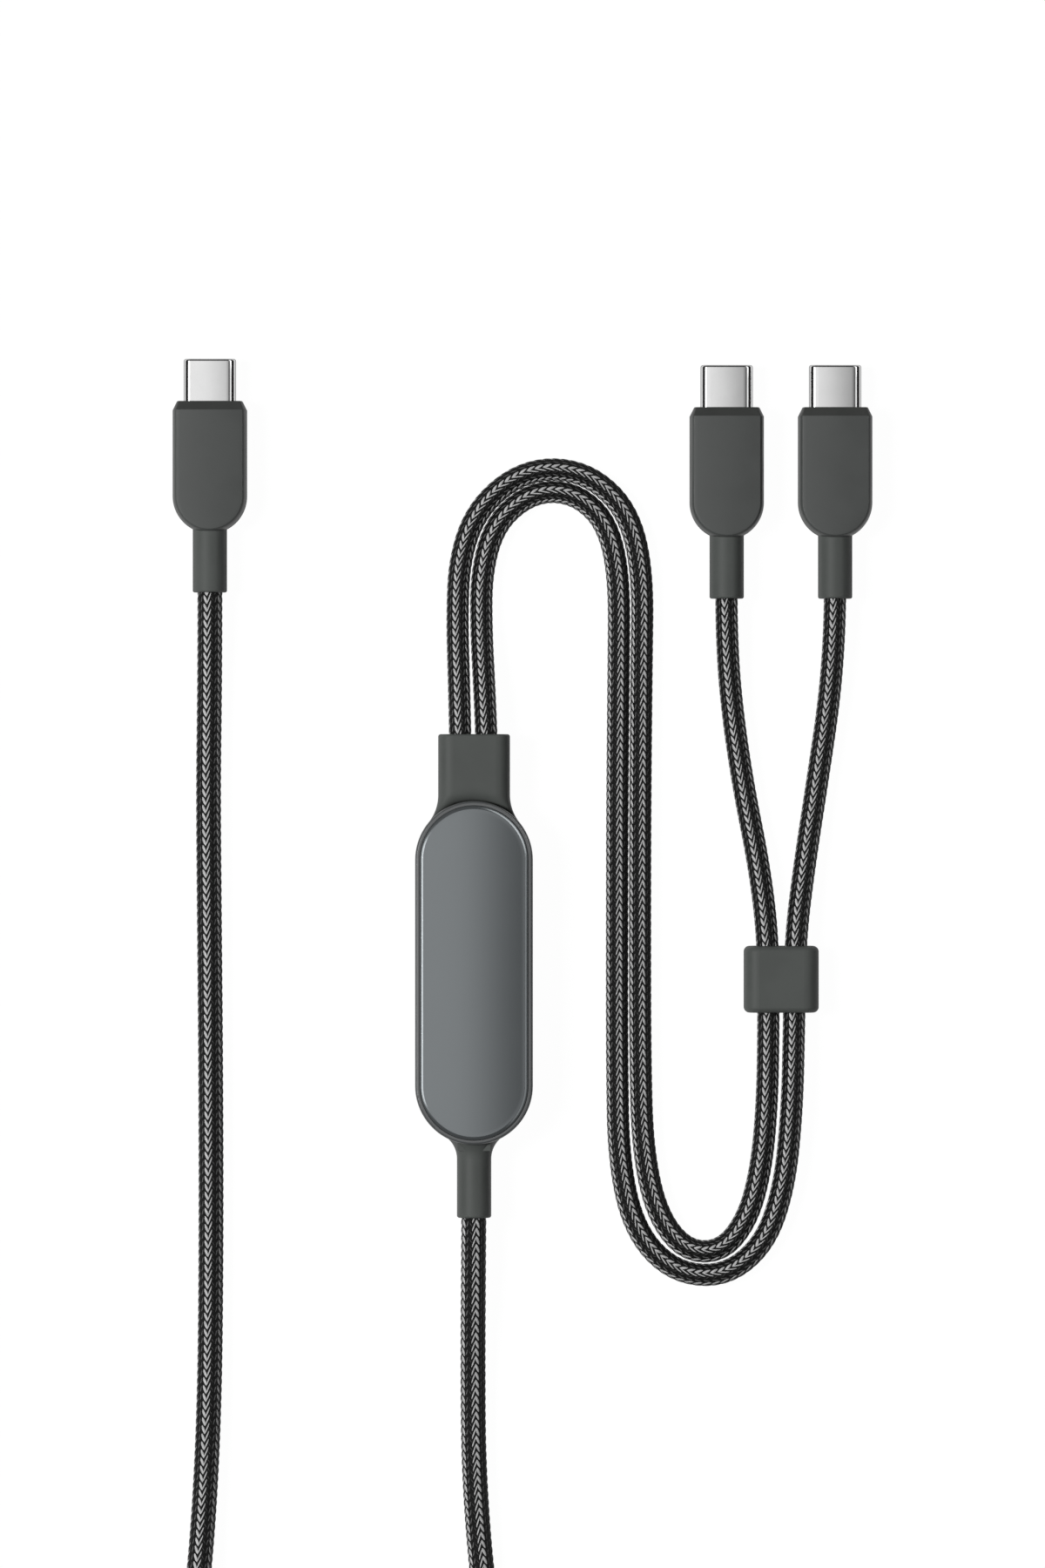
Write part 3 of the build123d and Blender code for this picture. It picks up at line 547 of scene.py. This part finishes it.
# ---- tie round the coil --------------------------------------------------------------------------
def strap_line():
    """Middle line of the strap, seen along its width: from under its own end on the top of the turns, once
    round the bundle with rounded corners, and on over the start as the free end."""
    bundle_low, bundle_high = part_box("cord_tie")
    half = TIE_THICKNESS / 2
    lap = 1.25 * TIE_THICKNESS
    left, right = bundle_low.y + half, bundle_high.y - half
    bottom, top = bundle_low.z + half, bundle_high.z - half - lap
    corner = 1.9 * MM
    middle = (left + right) / 2
    centres = ((right - corner, top - corner, 90), (right - corner, bottom + corner, 0),
               (left + corner, bottom + corner, -90), (left + corner, top - corner, -180))
    places = [(middle - 2.5 * MM, top)]
    for y, z, start in centres:
        bend = np.radians(start - np.linspace(0, 90, 9))
        places += list(zip(y + corner * np.cos(bend), z + corner * np.sin(bend)))
    rise = np.linspace(0, 1, 9)
    ramp = middle - 3.6 * MM + rise * 3.2 * MM
    places += list(zip(ramp, top + lap * smooth_step(rise, 0, 1)))
    places += [(middle + 3.4 * MM, top + lap)]
    y, z = np.array(places).T
    return np.stack([np.full(len(y), COIL_CENTRE[0]), y, z], axis=1)


def tie_strap():
    """Hook-and-loop strap: a flat rounded section carried along the strap's line, with a wavy selvedge."""
    line = strap_line()
    total = line_length(line)
    distances = np.linspace(0, total, 180)
    centres = spaced(line, distances)
    along = unit(spaced(line, distances + 0.2 * MM) - spaced(line, distances - 0.2 * MM))
    across = np.tile((1.0, 0.0, 0.0), (len(centres), 1))
    outward = np.cross(across, along)
    width = 10.0 * MM / 2
    turn = np.arange(48) / 48 * 2 * math.pi
    flat = np.sign(np.cos(turn)) * np.abs(np.cos(turn)) ** 0.25
    thick = np.sign(np.sin(turn)) * np.abs(np.sin(turn)) ** 0.45
    ripple = 0.06 * MM * np.sin(distances / (0.7 * MM) * 2 * math.pi)
    points = (centres[:, None]
              + across[:, None] * (flat[None, :] * (width - 0.06 * MM + ripple[:, None]))[..., None]
              + outward[:, None] * (thick * TIE_THICKNESS / 2 * 0.94)[None, :, None])
    rings, around = points.shape[:2]
    first = np.arange(around)
    caps = (first[::-1], first + (rings - 1) * around)
    faces = grid_faces(rings, around, closed=True)
    strap = make_piece("coil_strap", points.reshape(-1, 3), faces, caps=caps)
    tidy_mesh(strap, sharp_degrees=60)
    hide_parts("cord_tie")
    return strap


# ---- node helpers --------------------------------------------------------------------------------
def feed(tree, socket, value):
    """Gives a socket its value, or links another socket to it."""
    if isinstance(value, bpy.types.NodeSocket):
        tree.links.new(value, socket)
    elif value is not None:
        socket.default_value = value


def calc(tree, operation, *values):
    """A math node and its result."""
    node = tree.nodes.new("ShaderNodeMath")
    node.operation = operation
    for socket, value in zip(node.inputs, values):
        feed(tree, socket, value)
    return node.outputs[0]


def blend_colours(tree, share, first, second):
    """Two colours mixed by share."""
    node = tree.nodes.new("ShaderNodeMix")
    node.data_type = "RGBA"
    feed(tree, node.inputs[0], share)
    feed(tree, node.inputs[6], first)
    feed(tree, node.inputs[7], second)
    return node.outputs[2]


def ramp(tree, value, low, high, out_low=0.0, out_high=1.0):
    """A smooth step from out_low to out_high, as value goes from low to high."""
    node = tree.nodes.new("ShaderNodeMapRange")
    node.interpolation_type = "SMOOTHSTEP"
    for socket, number in zip(node.inputs, (value, low, high, out_low, out_high)):
        feed(tree, socket, number)
    return node.outputs[0]


def noise(tree, vector, scale, detail=2.0, roughness=0.5):
    """A noise value at each point of vector."""
    node = tree.nodes.new("ShaderNodeTexNoise")
    feed(tree, node.inputs["Vector"], vector)
    feed(tree, node.inputs["Scale"], scale)
    node.inputs["Detail"].default_value = detail
    node.inputs["Roughness"].default_value = roughness
    return node.outputs["Fac"]


def scaled(tree, vector, factors):
    """A vector with each part multiplied."""
    node = tree.nodes.new("ShaderNodeMapping")
    feed(tree, node.inputs["Vector"], vector)
    node.inputs["Scale"].default_value = factors
    return node.outputs[0]


def coordinates(tree, kind):
    return tree.nodes.new("ShaderNodeTexCoord").outputs[kind]


def new_group(name, inputs, outputs):
    """An empty node group with named float or colour sockets: (name, kind, default) each."""
    group = bpy.data.node_groups.new(name, "ShaderNodeTree")
    for label, kind, default in inputs:
        socket = group.interface.new_socket(name=label, in_out="INPUT", socket_type=kind)
        socket.default_value = default
    for label, kind in outputs:
        group.interface.new_socket(name=label, in_out="OUTPUT", socket_type=kind)
    return group, group.nodes.new("NodeGroupInput").outputs, group.nodes.new("NodeGroupOutput").inputs


def place_group(tree, group, **values):
    """A copy of a group in a material, with its own values. A name's spaces are written as underscores."""
    node = tree.nodes.new("ShaderNodeGroup")
    node.node_tree = group
    for label, value in values.items():
        feed(tree, node.inputs[label.replace("_", " ")], value)
    return node.outputs


NUMBER, COLOUR = "NodeSocketFloat", "NodeSocketColor"


def moulded_grain_group():
    """Fine spark-eroded grain of a moulding, with the faint cloudy unevenness of its gloss."""
    group, given, result = new_group(
        "moulded grain", [("Grain size", NUMBER, 0.12 * MM), ("Cloud size", NUMBER, 6 * MM)],
        [("Height", NUMBER), ("Cloud", NUMBER)])
    where = coordinates(group, "Object")
    fine = noise(group, where, calc(group, "DIVIDE", 1.0, given["Grain size"]), detail=3.0, roughness=0.6)
    cloud = noise(group, where, calc(group, "DIVIDE", 1.0, given["Cloud size"]), detail=3.0)
    feed(group, result["Height"], fine)
    feed(group, result["Cloud"], cloud)
    return group


def herringbone_group():
    """Two-tone herringbone braid, from a UV map that counts rib pairs round the cord and repeats along it.
    A yarn shows its colour within a half width of its crown, less towards its column's edges. Near the
    crowns of the dark yarns a dim grey painted highlight stands in for their gloss."""
    group, given, result = new_group(
        "herringbone braid",
        [("Light yarn", COLOUR, (0.45, 0.45, 0.45, 1)), ("Dark yarn", COLOUR, (0.008, 0.008, 0.008, 1)),
         ("Dim yarn", COLOUR, (0.07, 0.07, 0.07, 1))],
        [("Colour", COLOUR), ("Height", NUMBER), ("Light", NUMBER)])
    split = group.nodes.new("ShaderNodeSeparateXYZ")
    feed(group, split.inputs[0], coordinates(group, "UV"))
    across = calc(group, "MULTIPLY", split.outputs[0], COLUMNS_PER_PAIR)
    inside = calc(group, "FRACT", across)
    column = calc(group, "FLOORED_MODULO", calc(group, "FLOOR", across), COLUMNS_PER_PAIR)
    odd = calc(group, "FLOORED_MODULO", column, 2.0)
    away = calc(group, "ADD", calc(group, "SUBTRACT", 1.0, inside),
                calc(group, "MULTIPLY", odd, calc(group, "MULTIPLY_ADD", inside, 2.0, -1.0)))
    slope = calc(group, "MULTIPLY_ADD", odd, YARN_SLOPES[1] - YARN_SLOPES[0], YARN_SLOPES[0])
    climb = calc(group, "MULTIPLY", away, slope)
    phase = calc(group, "FRACT", calc(group, "SUBTRACT", split.outputs[1], climb))
    from_crown = calc(group, "ABSOLUTE", calc(group, "SUBTRACT", phase, 0.5))
    from_middle = calc(group, "ABSOLUTE", calc(group, "MULTIPLY_ADD", inside, 2.0, -1.0))
    leaf = calc(group, "SUBTRACT", 1.0, calc(group, "POWER", from_middle, 3.0))
    fibres = group.nodes.new("ShaderNodeCombineXYZ")
    feed(group, fibres.inputs[0], calc(group, "MULTIPLY", phase, 11.0))
    feed(group, fibres.inputs[1], calc(group, "MULTIPLY", split.outputs[1], 1.7))
    feed(group, fibres.inputs[2], across)
    strands = noise(group, fibres.outputs[0], 1.0, detail=2.0)
    is_light = calc(group, "LESS_THAN", column, 1.5)
    light_half = calc(group, "MULTIPLY", calc(group, "MULTIPLY_ADD", odd, 0.13, 0.2),
                      calc(group, "MULTIPLY_ADD", leaf, 0.5, 0.5))
    light = calc(group, "MULTIPLY", is_light,
                 ramp(group, calc(group, "SUBTRACT", light_half, from_crown), -0.06, 0.07))
    # Painted highlight: a dim grey mark near each dark yarn's crown, in place of the yarn's gloss.
    from_glint = calc(group, "ABSOLUTE", calc(group, "SUBTRACT", inside, 0.68))
    painted_glint_place = calc(group, "SUBTRACT", 1.0, calc(group, "MULTIPLY", from_glint, 3.0))
    painted_glint_half = calc(group, "MULTIPLY", calc(group, "MULTIPLY_ADD", odd, -0.2, 0.26), painted_glint_place)
    painted_glint = calc(group, "MULTIPLY", calc(group, "SUBTRACT", 1.0, is_light),
               ramp(group, calc(group, "SUBTRACT", painted_glint_half, from_crown), -0.06, 0.08))
    shade = blend_colours(group, painted_glint, given["Dark yarn"], given["Dim yarn"])
    shade = blend_colours(group, light, shade, given["Light yarn"])
    streak = blend_colours(group, ramp(group, strands, 0.3, 0.7), (0.55, 0.55, 0.55, 1), (1, 1, 1, 1))
    multiply = group.nodes.new("ShaderNodeMix")
    multiply.data_type = "RGBA"
    multiply.blend_type = "MULTIPLY"
    multiply.inputs[0].default_value = 1.0
    feed(group, multiply.inputs[6], shade)
    feed(group, multiply.inputs[7], streak)
    feed(group, result["Colour"], multiply.outputs[2])
    crown = calc(group, "SINE", calc(group, "MULTIPLY", phase, math.pi))
    relief = calc(group, "MULTIPLY", crown, calc(group, "MULTIPLY_ADD", leaf, 0.75, 0.25))
    feed(group, result["Height"], calc(group, "MULTIPLY_ADD", strands, 0.2, relief))
    feed(group, result["Light"], light)
    return group


def brushed_group():
    """Fine drawing lines along the metal, and the cloudy unevenness of its polish."""
    group, given, result = new_group(
        "drawn metal", [("Line width", NUMBER, 0.05 * MM)], [("Lines", NUMBER), ("Cloud", NUMBER)])
    where = coordinates(group, "Object")
    drawn = scaled(group, where, (1.0, 0.04, 1.0))
    lines = noise(group, drawn, calc(group, "DIVIDE", 1.0, given["Line width"]), detail=2.0)
    feed(group, result["Lines"], lines)
    feed(group, result["Cloud"], noise(group, where, 1 / (2.5 * MM), detail=2.0))
    return group


def webbing_group():
    """Loop pile of a strap: small round tufts in rows, with stray fibres."""
    group, given, result = new_group("loop pile", [("Tuft size", NUMBER, 0.45 * MM)],
                                     [("Height", NUMBER), ("Tone", NUMBER)])
    where = coordinates(group, "Object")
    cells = group.nodes.new("ShaderNodeTexVoronoi")
    feed(group, cells.inputs["Vector"], where)
    feed(group, cells.inputs["Scale"], calc(group, "DIVIDE", 1.0, given["Tuft size"]))
    tufts = calc(group, "SUBTRACT", 1.0, cells.outputs["Distance"])
    stray = noise(group, where, 1 / (0.15 * MM), detail=3.0, roughness=0.7)
    feed(group, result["Height"], calc(group, "MULTIPLY_ADD", stray, 0.5, tufts))
    feed(group, result["Tone"], stray)
    return group


# ---- materials -----------------------------------------------------------------------------------
def new_material(name):
    """A material with a Principled shader in its tree."""
    material = bpy.data.materials.new(name)
    material.use_nodes = True
    tree = material.node_tree
    return material, tree, tree.nodes["Principled BSDF"].inputs


def bump(tree, height, depth, strength=1.0):
    """A bump that stands depth metres for a height of one."""
    node = tree.nodes.new("ShaderNodeBump")
    node.inputs["Strength"].default_value = strength
    node.inputs["Distance"].default_value = depth
    feed(tree, node.inputs["Height"], height)
    return node.outputs[0]


def shades(colour, spread):
    """A colour a little darker and a little lighter, for a material's own unevenness."""
    return tuple((*[part * factor for part in colour], 1.0) for factor in (1 - spread, 1 + spread))


def moulding(name, colour, roughness, gloss=0.5, grain=0.12 * MM, depth=0.004 * MM, spread=0.06):
    """Moulded plastic or rubber: one colour with a faint cloudiness, a fine grain, and an uneven gloss."""
    material, tree, shader = new_material(name)
    surface = place_group(tree, MOULDED_GRAIN, Grain_size=grain)
    darker, lighter = shades(colour, spread)
    cloud = ramp(tree, surface["Cloud"], 0.3, 0.7)
    feed(tree, shader["Base Color"], blend_colours(tree, cloud, darker, lighter))
    uneven = ramp(tree, surface["Cloud"], 0.3, 0.7, roughness - 0.03, roughness + 0.04)
    feed(tree, shader["Roughness"], uneven)
    shader["Specular IOR Level"].default_value = gloss
    feed(tree, shader["Normal"], bump(tree, surface["Height"], depth))
    return material


def metal(name, colour, roughness, line=0.05 * MM, depth=0.0008 * MM):
    """Drawn or rolled metal, with fine lines in its gloss."""
    material, tree, shader = new_material(name)
    surface = place_group(tree, DRAWN_METAL, Line_width=line)
    darker, lighter = shades(colour, 0.04)
    shader["Metallic"].default_value = 1.0
    feed(tree, shader["Base Color"], blend_colours(tree, surface["Cloud"], darker, lighter))
    uneven = ramp(tree, surface["Lines"], 0.2, 0.8, roughness - 0.04, roughness + 0.06)
    feed(tree, shader["Roughness"], uneven)
    feed(tree, shader["Normal"], bump(tree, surface["Lines"], depth))
    return material


def braid(name, light, dark, painted_glint):
    """Polyester braid of a cord, with a dim grey painted highlight on the crowns of its dark yarns."""
    material, tree, shader = new_material(name)
    yarn = place_group(tree, HERRINGBONE, Light_yarn=light, Dark_yarn=dark, Dim_yarn=painted_glint)
    feed(tree, shader["Base Color"], yarn["Colour"])
    feed(tree, shader["Roughness"], ramp(tree, yarn["Light"], 0.0, 1.0, 0.62, 0.45))
    shader["Specular IOR Level"].default_value = 0.25
    feed(tree, shader["Normal"], bump(tree, yarn["Height"], 0.05 * MM))
    return material


def loop_pile(name, colour):
    """Black loop pile of the strap."""
    material, tree, shader = new_material(name)
    pile = place_group(tree, LOOP_PILE)
    darker, lighter = shades(colour, 0.4)
    feed(tree, shader["Base Color"], blend_colours(tree, pile["Tone"], darker, lighter))
    shader["Roughness"].default_value = 0.9
    shader["Sheen Weight"].default_value = 0.4
    feed(tree, shader["Normal"], bump(tree, pile["Height"], 0.15 * MM))
    return material


def cover_finish(name, colour):
    """Satin metallic lacquer under a clear coat."""
    material, tree, shader = new_material(name)
    surface = place_group(tree, MOULDED_GRAIN, Grain_size=0.05 * MM, Cloud_size=14 * MM)
    darker, lighter = shades(colour, 0.03)
    feed(tree, shader["Base Color"], blend_colours(tree, surface["Cloud"], darker, lighter))
    shader["Metallic"].default_value = 0.8
    feed(tree, shader["Roughness"], ramp(tree, surface["Cloud"], 0.3, 0.7, 0.15, 0.18))
    shader["Coat Weight"].default_value = 0.5
    shader["Coat Roughness"].default_value = 0.08
    feed(tree, shader["Normal"], bump(tree, surface["Height"], 0.0004 * MM))
    return material


MOULDED_GRAIN = moulded_grain_group()
HERRINGBONE = herringbone_group()
DRAWN_METAL = brushed_group()
LOOP_PILE = webbing_group()

LIGHT_YARN = (0.30, 0.30, 0.30, 1)
DARK_YARN = (0.003, 0.003, 0.003, 1)
# Dim grey of a painted highlight on the dark yarns' crowns, which stands in for their gloss.
PAINTED_YARN_GLINT = (0.07, 0.07, 0.07, 1)

finishes = {
    "cover_plate": cover_finish("grey cover lacquer", (0.135, 0.147, 0.153)),
    "hub_case": moulding("hub case plastic", (0.036, 0.038, 0.039), 0.3, gloss=1.0, depth=0.001 * MM),
    "boot": moulding("boot rubber", (0.036, 0.039, 0.037), 0.5, gloss=0.4, depth=0.002 * MM),
    "slider": moulding("slider rubber", (0.036, 0.039, 0.037), 0.5, gloss=0.4, depth=0.002 * MM),
    "plug_housing": moulding("plug housing plastic", (0.028, 0.030, 0.029), 0.42, gloss=0.6,
                             depth=0.002 * MM),
    "plug_core": moulding("plug nose plastic", (0.020, 0.021, 0.020), 0.45),
    "plug_steel": metal("plug steel", (0.73, 0.73, 0.73), 0.07, depth=0.0002 * MM),
    "spring_steel": metal("spring steel", (0.6, 0.6, 0.61), 0.25),
    "contact_gold": metal("contact gold", (0.85, 0.63, 0.26), 0.2),
    "insulator": moulding("insulator plastic", (0.012, 0.012, 0.012), 0.4),
    "circuit_board": moulding("board resin", (0.01, 0.03, 0.018), 0.35),
    "chip": moulding("chip resin", (0.018, 0.018, 0.018), 0.6),
    "capacitor": moulding("capacitor ceramic", (0.38, 0.27, 0.16), 0.4),
    "wire": moulding("wire insulation", (0.42, 0.03, 0.03), 0.45),
    "input_cord": braid("input cord braid", LIGHT_YARN, DARK_YARN, PAINTED_YARN_GLINT),
    "output_cord": braid("output cord braid", LIGHT_YARN, DARK_YARN, PAINTED_YARN_GLINT),
    "tie_strap": loop_pile("strap pile", (0.014, 0.014, 0.014)),
}


def finish_piece(piece, slot):
    """Gives a piece the finish of a material slot."""
    piece.data.materials.clear()
    piece.data.materials.append(finishes[slot])
    return piece


# ---- the object ----------------------------------------------------------------------------------
slot_of = {row["node"]: row["material_slot"] for row in frame["record"]["subparts"]}
for node, cad_object in frame["nodes"].items():
    finish_piece(cad_object, slot_of[node])

for name, node, upwards in (("upper_cover", "hub_top_plate", True),
                            ("lower_cover", "hub_bottom_plate", False)):
    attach(finish_piece(cover_plate(name, node, upwards), "cover_plate"), CABLE)

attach(finish_piece(outlet_boot("outlet_boot", "hub_outlet_boot", "hub_upper_shell"), "boot"), CABLE)

input_route = LEAD_ROUTE[:-1] + coil_route() + TAIL_ROUTE[1:]
input_line = spline_through("input cord line", input_route)
rings = ring_distances(input_line, -98 * MM, 64 * MM, fine=6, coarse=3)
input_cord, input_path = braided_cord("input_cord", input_line, INPUT_CORD, rings, across_column=2)
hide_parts("input_cord_lead", "input_cord_coil", "input_cord_tail")
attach(finish_piece(input_cord, "input_cord"), CABLE)


def plug_pieces(plug):
    """Everything on the end of one plug's cord: its grip, nose and shell, and the CAD nodes inside them."""
    grip = grip_shell(f"{plug}_grip", f"{plug}_housing")
    nose = nose_ring(f"{plug}_nose", f"{plug}_core", f"{plug}_housing", f"{plug}_tongue")
    shell = tongue_shell(f"{plug}_shell", f"{plug}_tongue")
    shown = [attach(finish_piece(grip, "plug_housing"), CABLE),
             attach(finish_piece(nose, "plug_core"), CABLE),
             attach(finish_piece(shell, "plug_steel"), CABLE)]
    inside = [cad for node, cad in frame["nodes"].items()
              if node.startswith(plug) and not node.endswith(("_housing", "_core", "_tongue"))]
    return shown + inside


def mouth(boot, x, end):
    """The middle of a boot's mouth: end is its lowest (0) or highest (1) side along Y."""
    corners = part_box(boot)
    return (x, corners[end].y, (corners[0].z + corners[1].z) / 2)


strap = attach(finish_piece(tie_strap(), "tie_strap"), CABLE)
on_cord = [strap, *plug_pieces("input_plug")]

for side, route in (("left", LEFT_ROUTE), ("right", RIGHT_ROUTE)):
    line = spline_through(f"{side} cord line", route)
    rings = ring_distances(line, -1.0, 1.0, fine=6, coarse=6)
    output_cord, path = braided_cord(f"{side}_output_braid", line, OUTPUT_CORD, rings, across_column=3)
    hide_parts(f"{side}_output_cord")
    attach(finish_piece(output_cord, "output_cord"), CABLE)
    on_cord = plug_pieces(f"{side}_plug") + ([frame["nodes"]["slider"]] if side == "left" else [])


# ---- stage, light and camera ---------------------------------------------------------------------
def stage_floor():
    """A wide pale floor, evenly white to the eye with a trace of shadow. It throws little light back up,
    so that undersides stay dark, but it shows white in polished metal. Within a few millimetres of a piece
    it is dimmer still, as in the piece's own shade."""
    mesh = bpy.data.meshes.new("table top")
    half = 3.0
    corners = [(-half, -half, 0), (half, -half, 0), (half, half, 0), (-half, half, 0)]
    mesh.from_pydata(corners, [], [(0, 1, 2, 3)])
    floor = bpy.data.objects.new("table_top", mesh)
    bpy.context.scene.collection.objects.link(floor)
    material = bpy.data.materials.new("pale table")
    material.use_nodes = True
    tree = material.node_tree
    output = tree.nodes["Material Output"]
    matt = tree.nodes["Principled BSDF"]
    matt.inputs["Base Color"].default_value = (0.8, 0.8, 0.8, 1)
    matt.inputs["Roughness"].default_value = 0.9
    matt.inputs["Specular IOR Level"].default_value = 0.0
    ray = tree.nodes.new("ShaderNodeLightPath").outputs
    glow = tree.nodes.new("ShaderNodeEmission")
    thrown = calc(tree, "MULTIPLY_ADD", ray["Is Glossy Ray"], FLOOR_IN_METAL - FLOOR_BOUNCE, FLOOR_BOUNCE)
    thrown = calc(tree, "MULTIPLY", thrown, ramp(tree, ray["Ray Length"], *SHADE_REACH, SHADE, 1.0))
    strength = calc(tree, "MULTIPLY_ADD", ray["Is Camera Ray"], calc(tree, "SUBTRACT", 1.0, thrown), thrown)
    feed(tree, glow.inputs["Strength"], strength)
    seen = tree.nodes.new("ShaderNodeMixShader")
    feed(tree, seen.inputs[0], calc(tree, "MULTIPLY", ray["Is Camera Ray"], FLOOR_SHADOW))
    feed(tree, seen.inputs[1], glow.outputs[0])
    feed(tree, seen.inputs[2], matt.outputs[0])
    feed(tree, output.inputs["Surface"], seen.outputs[0])
    mesh.materials.append(material)
    return floor


def soft_box(name, place, target, size, watts, in_gloss=True):
    """A rectangular area light that faces target."""
    light = bpy.data.lights.new(name, "AREA")
    light.shape = "RECTANGLE"
    light.size, light.size_y = size
    light.energy = watts
    lamp = bpy.data.objects.new(name, light)
    lamp.location = place
    lamp.rotation_euler = (Vector(target) - Vector(place)).to_track_quat("-Z", "Y").to_euler()
    lamp.visible_glossy = in_gloss
    bpy.context.scene.collection.objects.link(lamp)
    return lamp


def studio_sky():
    """Surroundings: a bright ceiling that dims from left to right, with brighter panels along its left and
    far right rims, dark walls, and a plain pale backdrop where the camera sees past the floor."""
    world = bpy.data.worlds.new("studio")
    world.use_nodes = True
    tree = world.node_tree
    split = tree.nodes.new("ShaderNodeSeparateXYZ")
    feed(tree, split.inputs[0], coordinates(tree, "Generated"))
    x, y, z = split.outputs
    sideways = calc(tree, "ABSOLUTE", y)
    ceiling = calc(tree, "MULTIPLY", ramp(tree, z, 0.66, 0.76), ramp(tree, sideways, 0.28, 0.48, 1.0, 0.05))
    dimming = ramp(tree, x, -0.10, 0.24, CEILING_LEFT, CEILING_RIGHT)
    rim = calc(tree, "MULTIPLY", ramp(tree, z, 0.66, 0.71), ramp(tree, z, 0.86, 0.91, 1.0, 0.0))
    left_panel = calc(tree, "MULTIPLY", ramp(tree, x, -0.50, -0.42, LEFT_PANEL, 0.0),
                      ramp(tree, sideways, 0.2, 0.3, 1.0, 0.0))
    far_right = calc(tree, "ADD", calc(tree, "MULTIPLY", x, 0.75), calc(tree, "MULTIPLY", y, 0.66))
    far_panel = ramp(tree, far_right, 0.54, 0.60, 0.0, FAR_PANEL)
    right_panel = ramp(tree, x, 0.40, 0.48, 0.0, RIGHT_PANEL)
    panels = calc(tree, "ADD", left_panel, calc(tree, "ADD", far_panel, right_panel))
    light = calc(tree, "MULTIPLY_ADD", ceiling, dimming, WALLS)
    light = calc(tree, "MULTIPLY_ADD", rim, panels, light)
    ray = tree.nodes.new("ShaderNodeLightPath").outputs
    fill = calc(tree, "MULTIPLY_ADD", ray["Is Diffuse Ray"], SKY_FILL - 1, 1.0)
    light = calc(tree, "MULTIPLY", light, fill)
    seen = calc(tree, "MULTIPLY_ADD", ray["Is Camera Ray"], calc(tree, "SUBTRACT", BACKDROP, light), light)
    feed(tree, tree.nodes["Background"].inputs[1], seen)
    tree.nodes["Background"].inputs[0].default_value = (1, 1, 1, 1)
    bpy.context.scene.world = world


FLOOR_SHADOW = 0.02                # share of the floor's look that takes shadows
FLOOR_IN_METAL = 0.85              # brightness of the floor in polished metal, and as light thrown back up
FLOOR_BOUNCE = 0.12
SHADE_REACH = 3.4 * MM, 6.0 * MM   # rays to the floor shorter than this find it in the piece's own shade
SHADE = 0.12
CEILING_LEFT, CEILING_RIGHT = 1.05, 0.12
SKY_FILL = 0.4                     # share of the surroundings that lights matt surfaces
LEFT_PANEL, RIGHT_PANEL, FAR_PANEL = 3.6, 0.9, 3.0
WALLS = 0.02
BACKDROP = 0.93
VIEW_CENTRE = (7.62 * MM, 29.66 * MM)
VIEW_HEIGHT = 247.1 * MM
FOCUS_HEIGHT = 3.1 * MM            # VIEW_HEIGHT is measured at this height above the table

stage_floor()
studio_sky()
soft_box("key", (-0.75, 0.10, 1.1), (0.0, 0.03, 0.0), (0.35, 0.35), 32.0, in_gloss=False)

camera = bpy.data.cameras.new("camera")
camera.lens = 200.0
camera.sensor_width = 36.0
camera_height = VIEW_HEIGHT / camera.sensor_width * camera.lens
viewer = bpy.data.objects.new("camera", camera)
viewer.location = (*VIEW_CENTRE, camera_height + FOCUS_HEIGHT)
camera.clip_start, camera.clip_end = 0.05, 10.0
bpy.context.scene.collection.objects.link(viewer)
bpy.context.scene.camera = viewer
bpy.context.scene.view_settings.view_transform = "Standard"
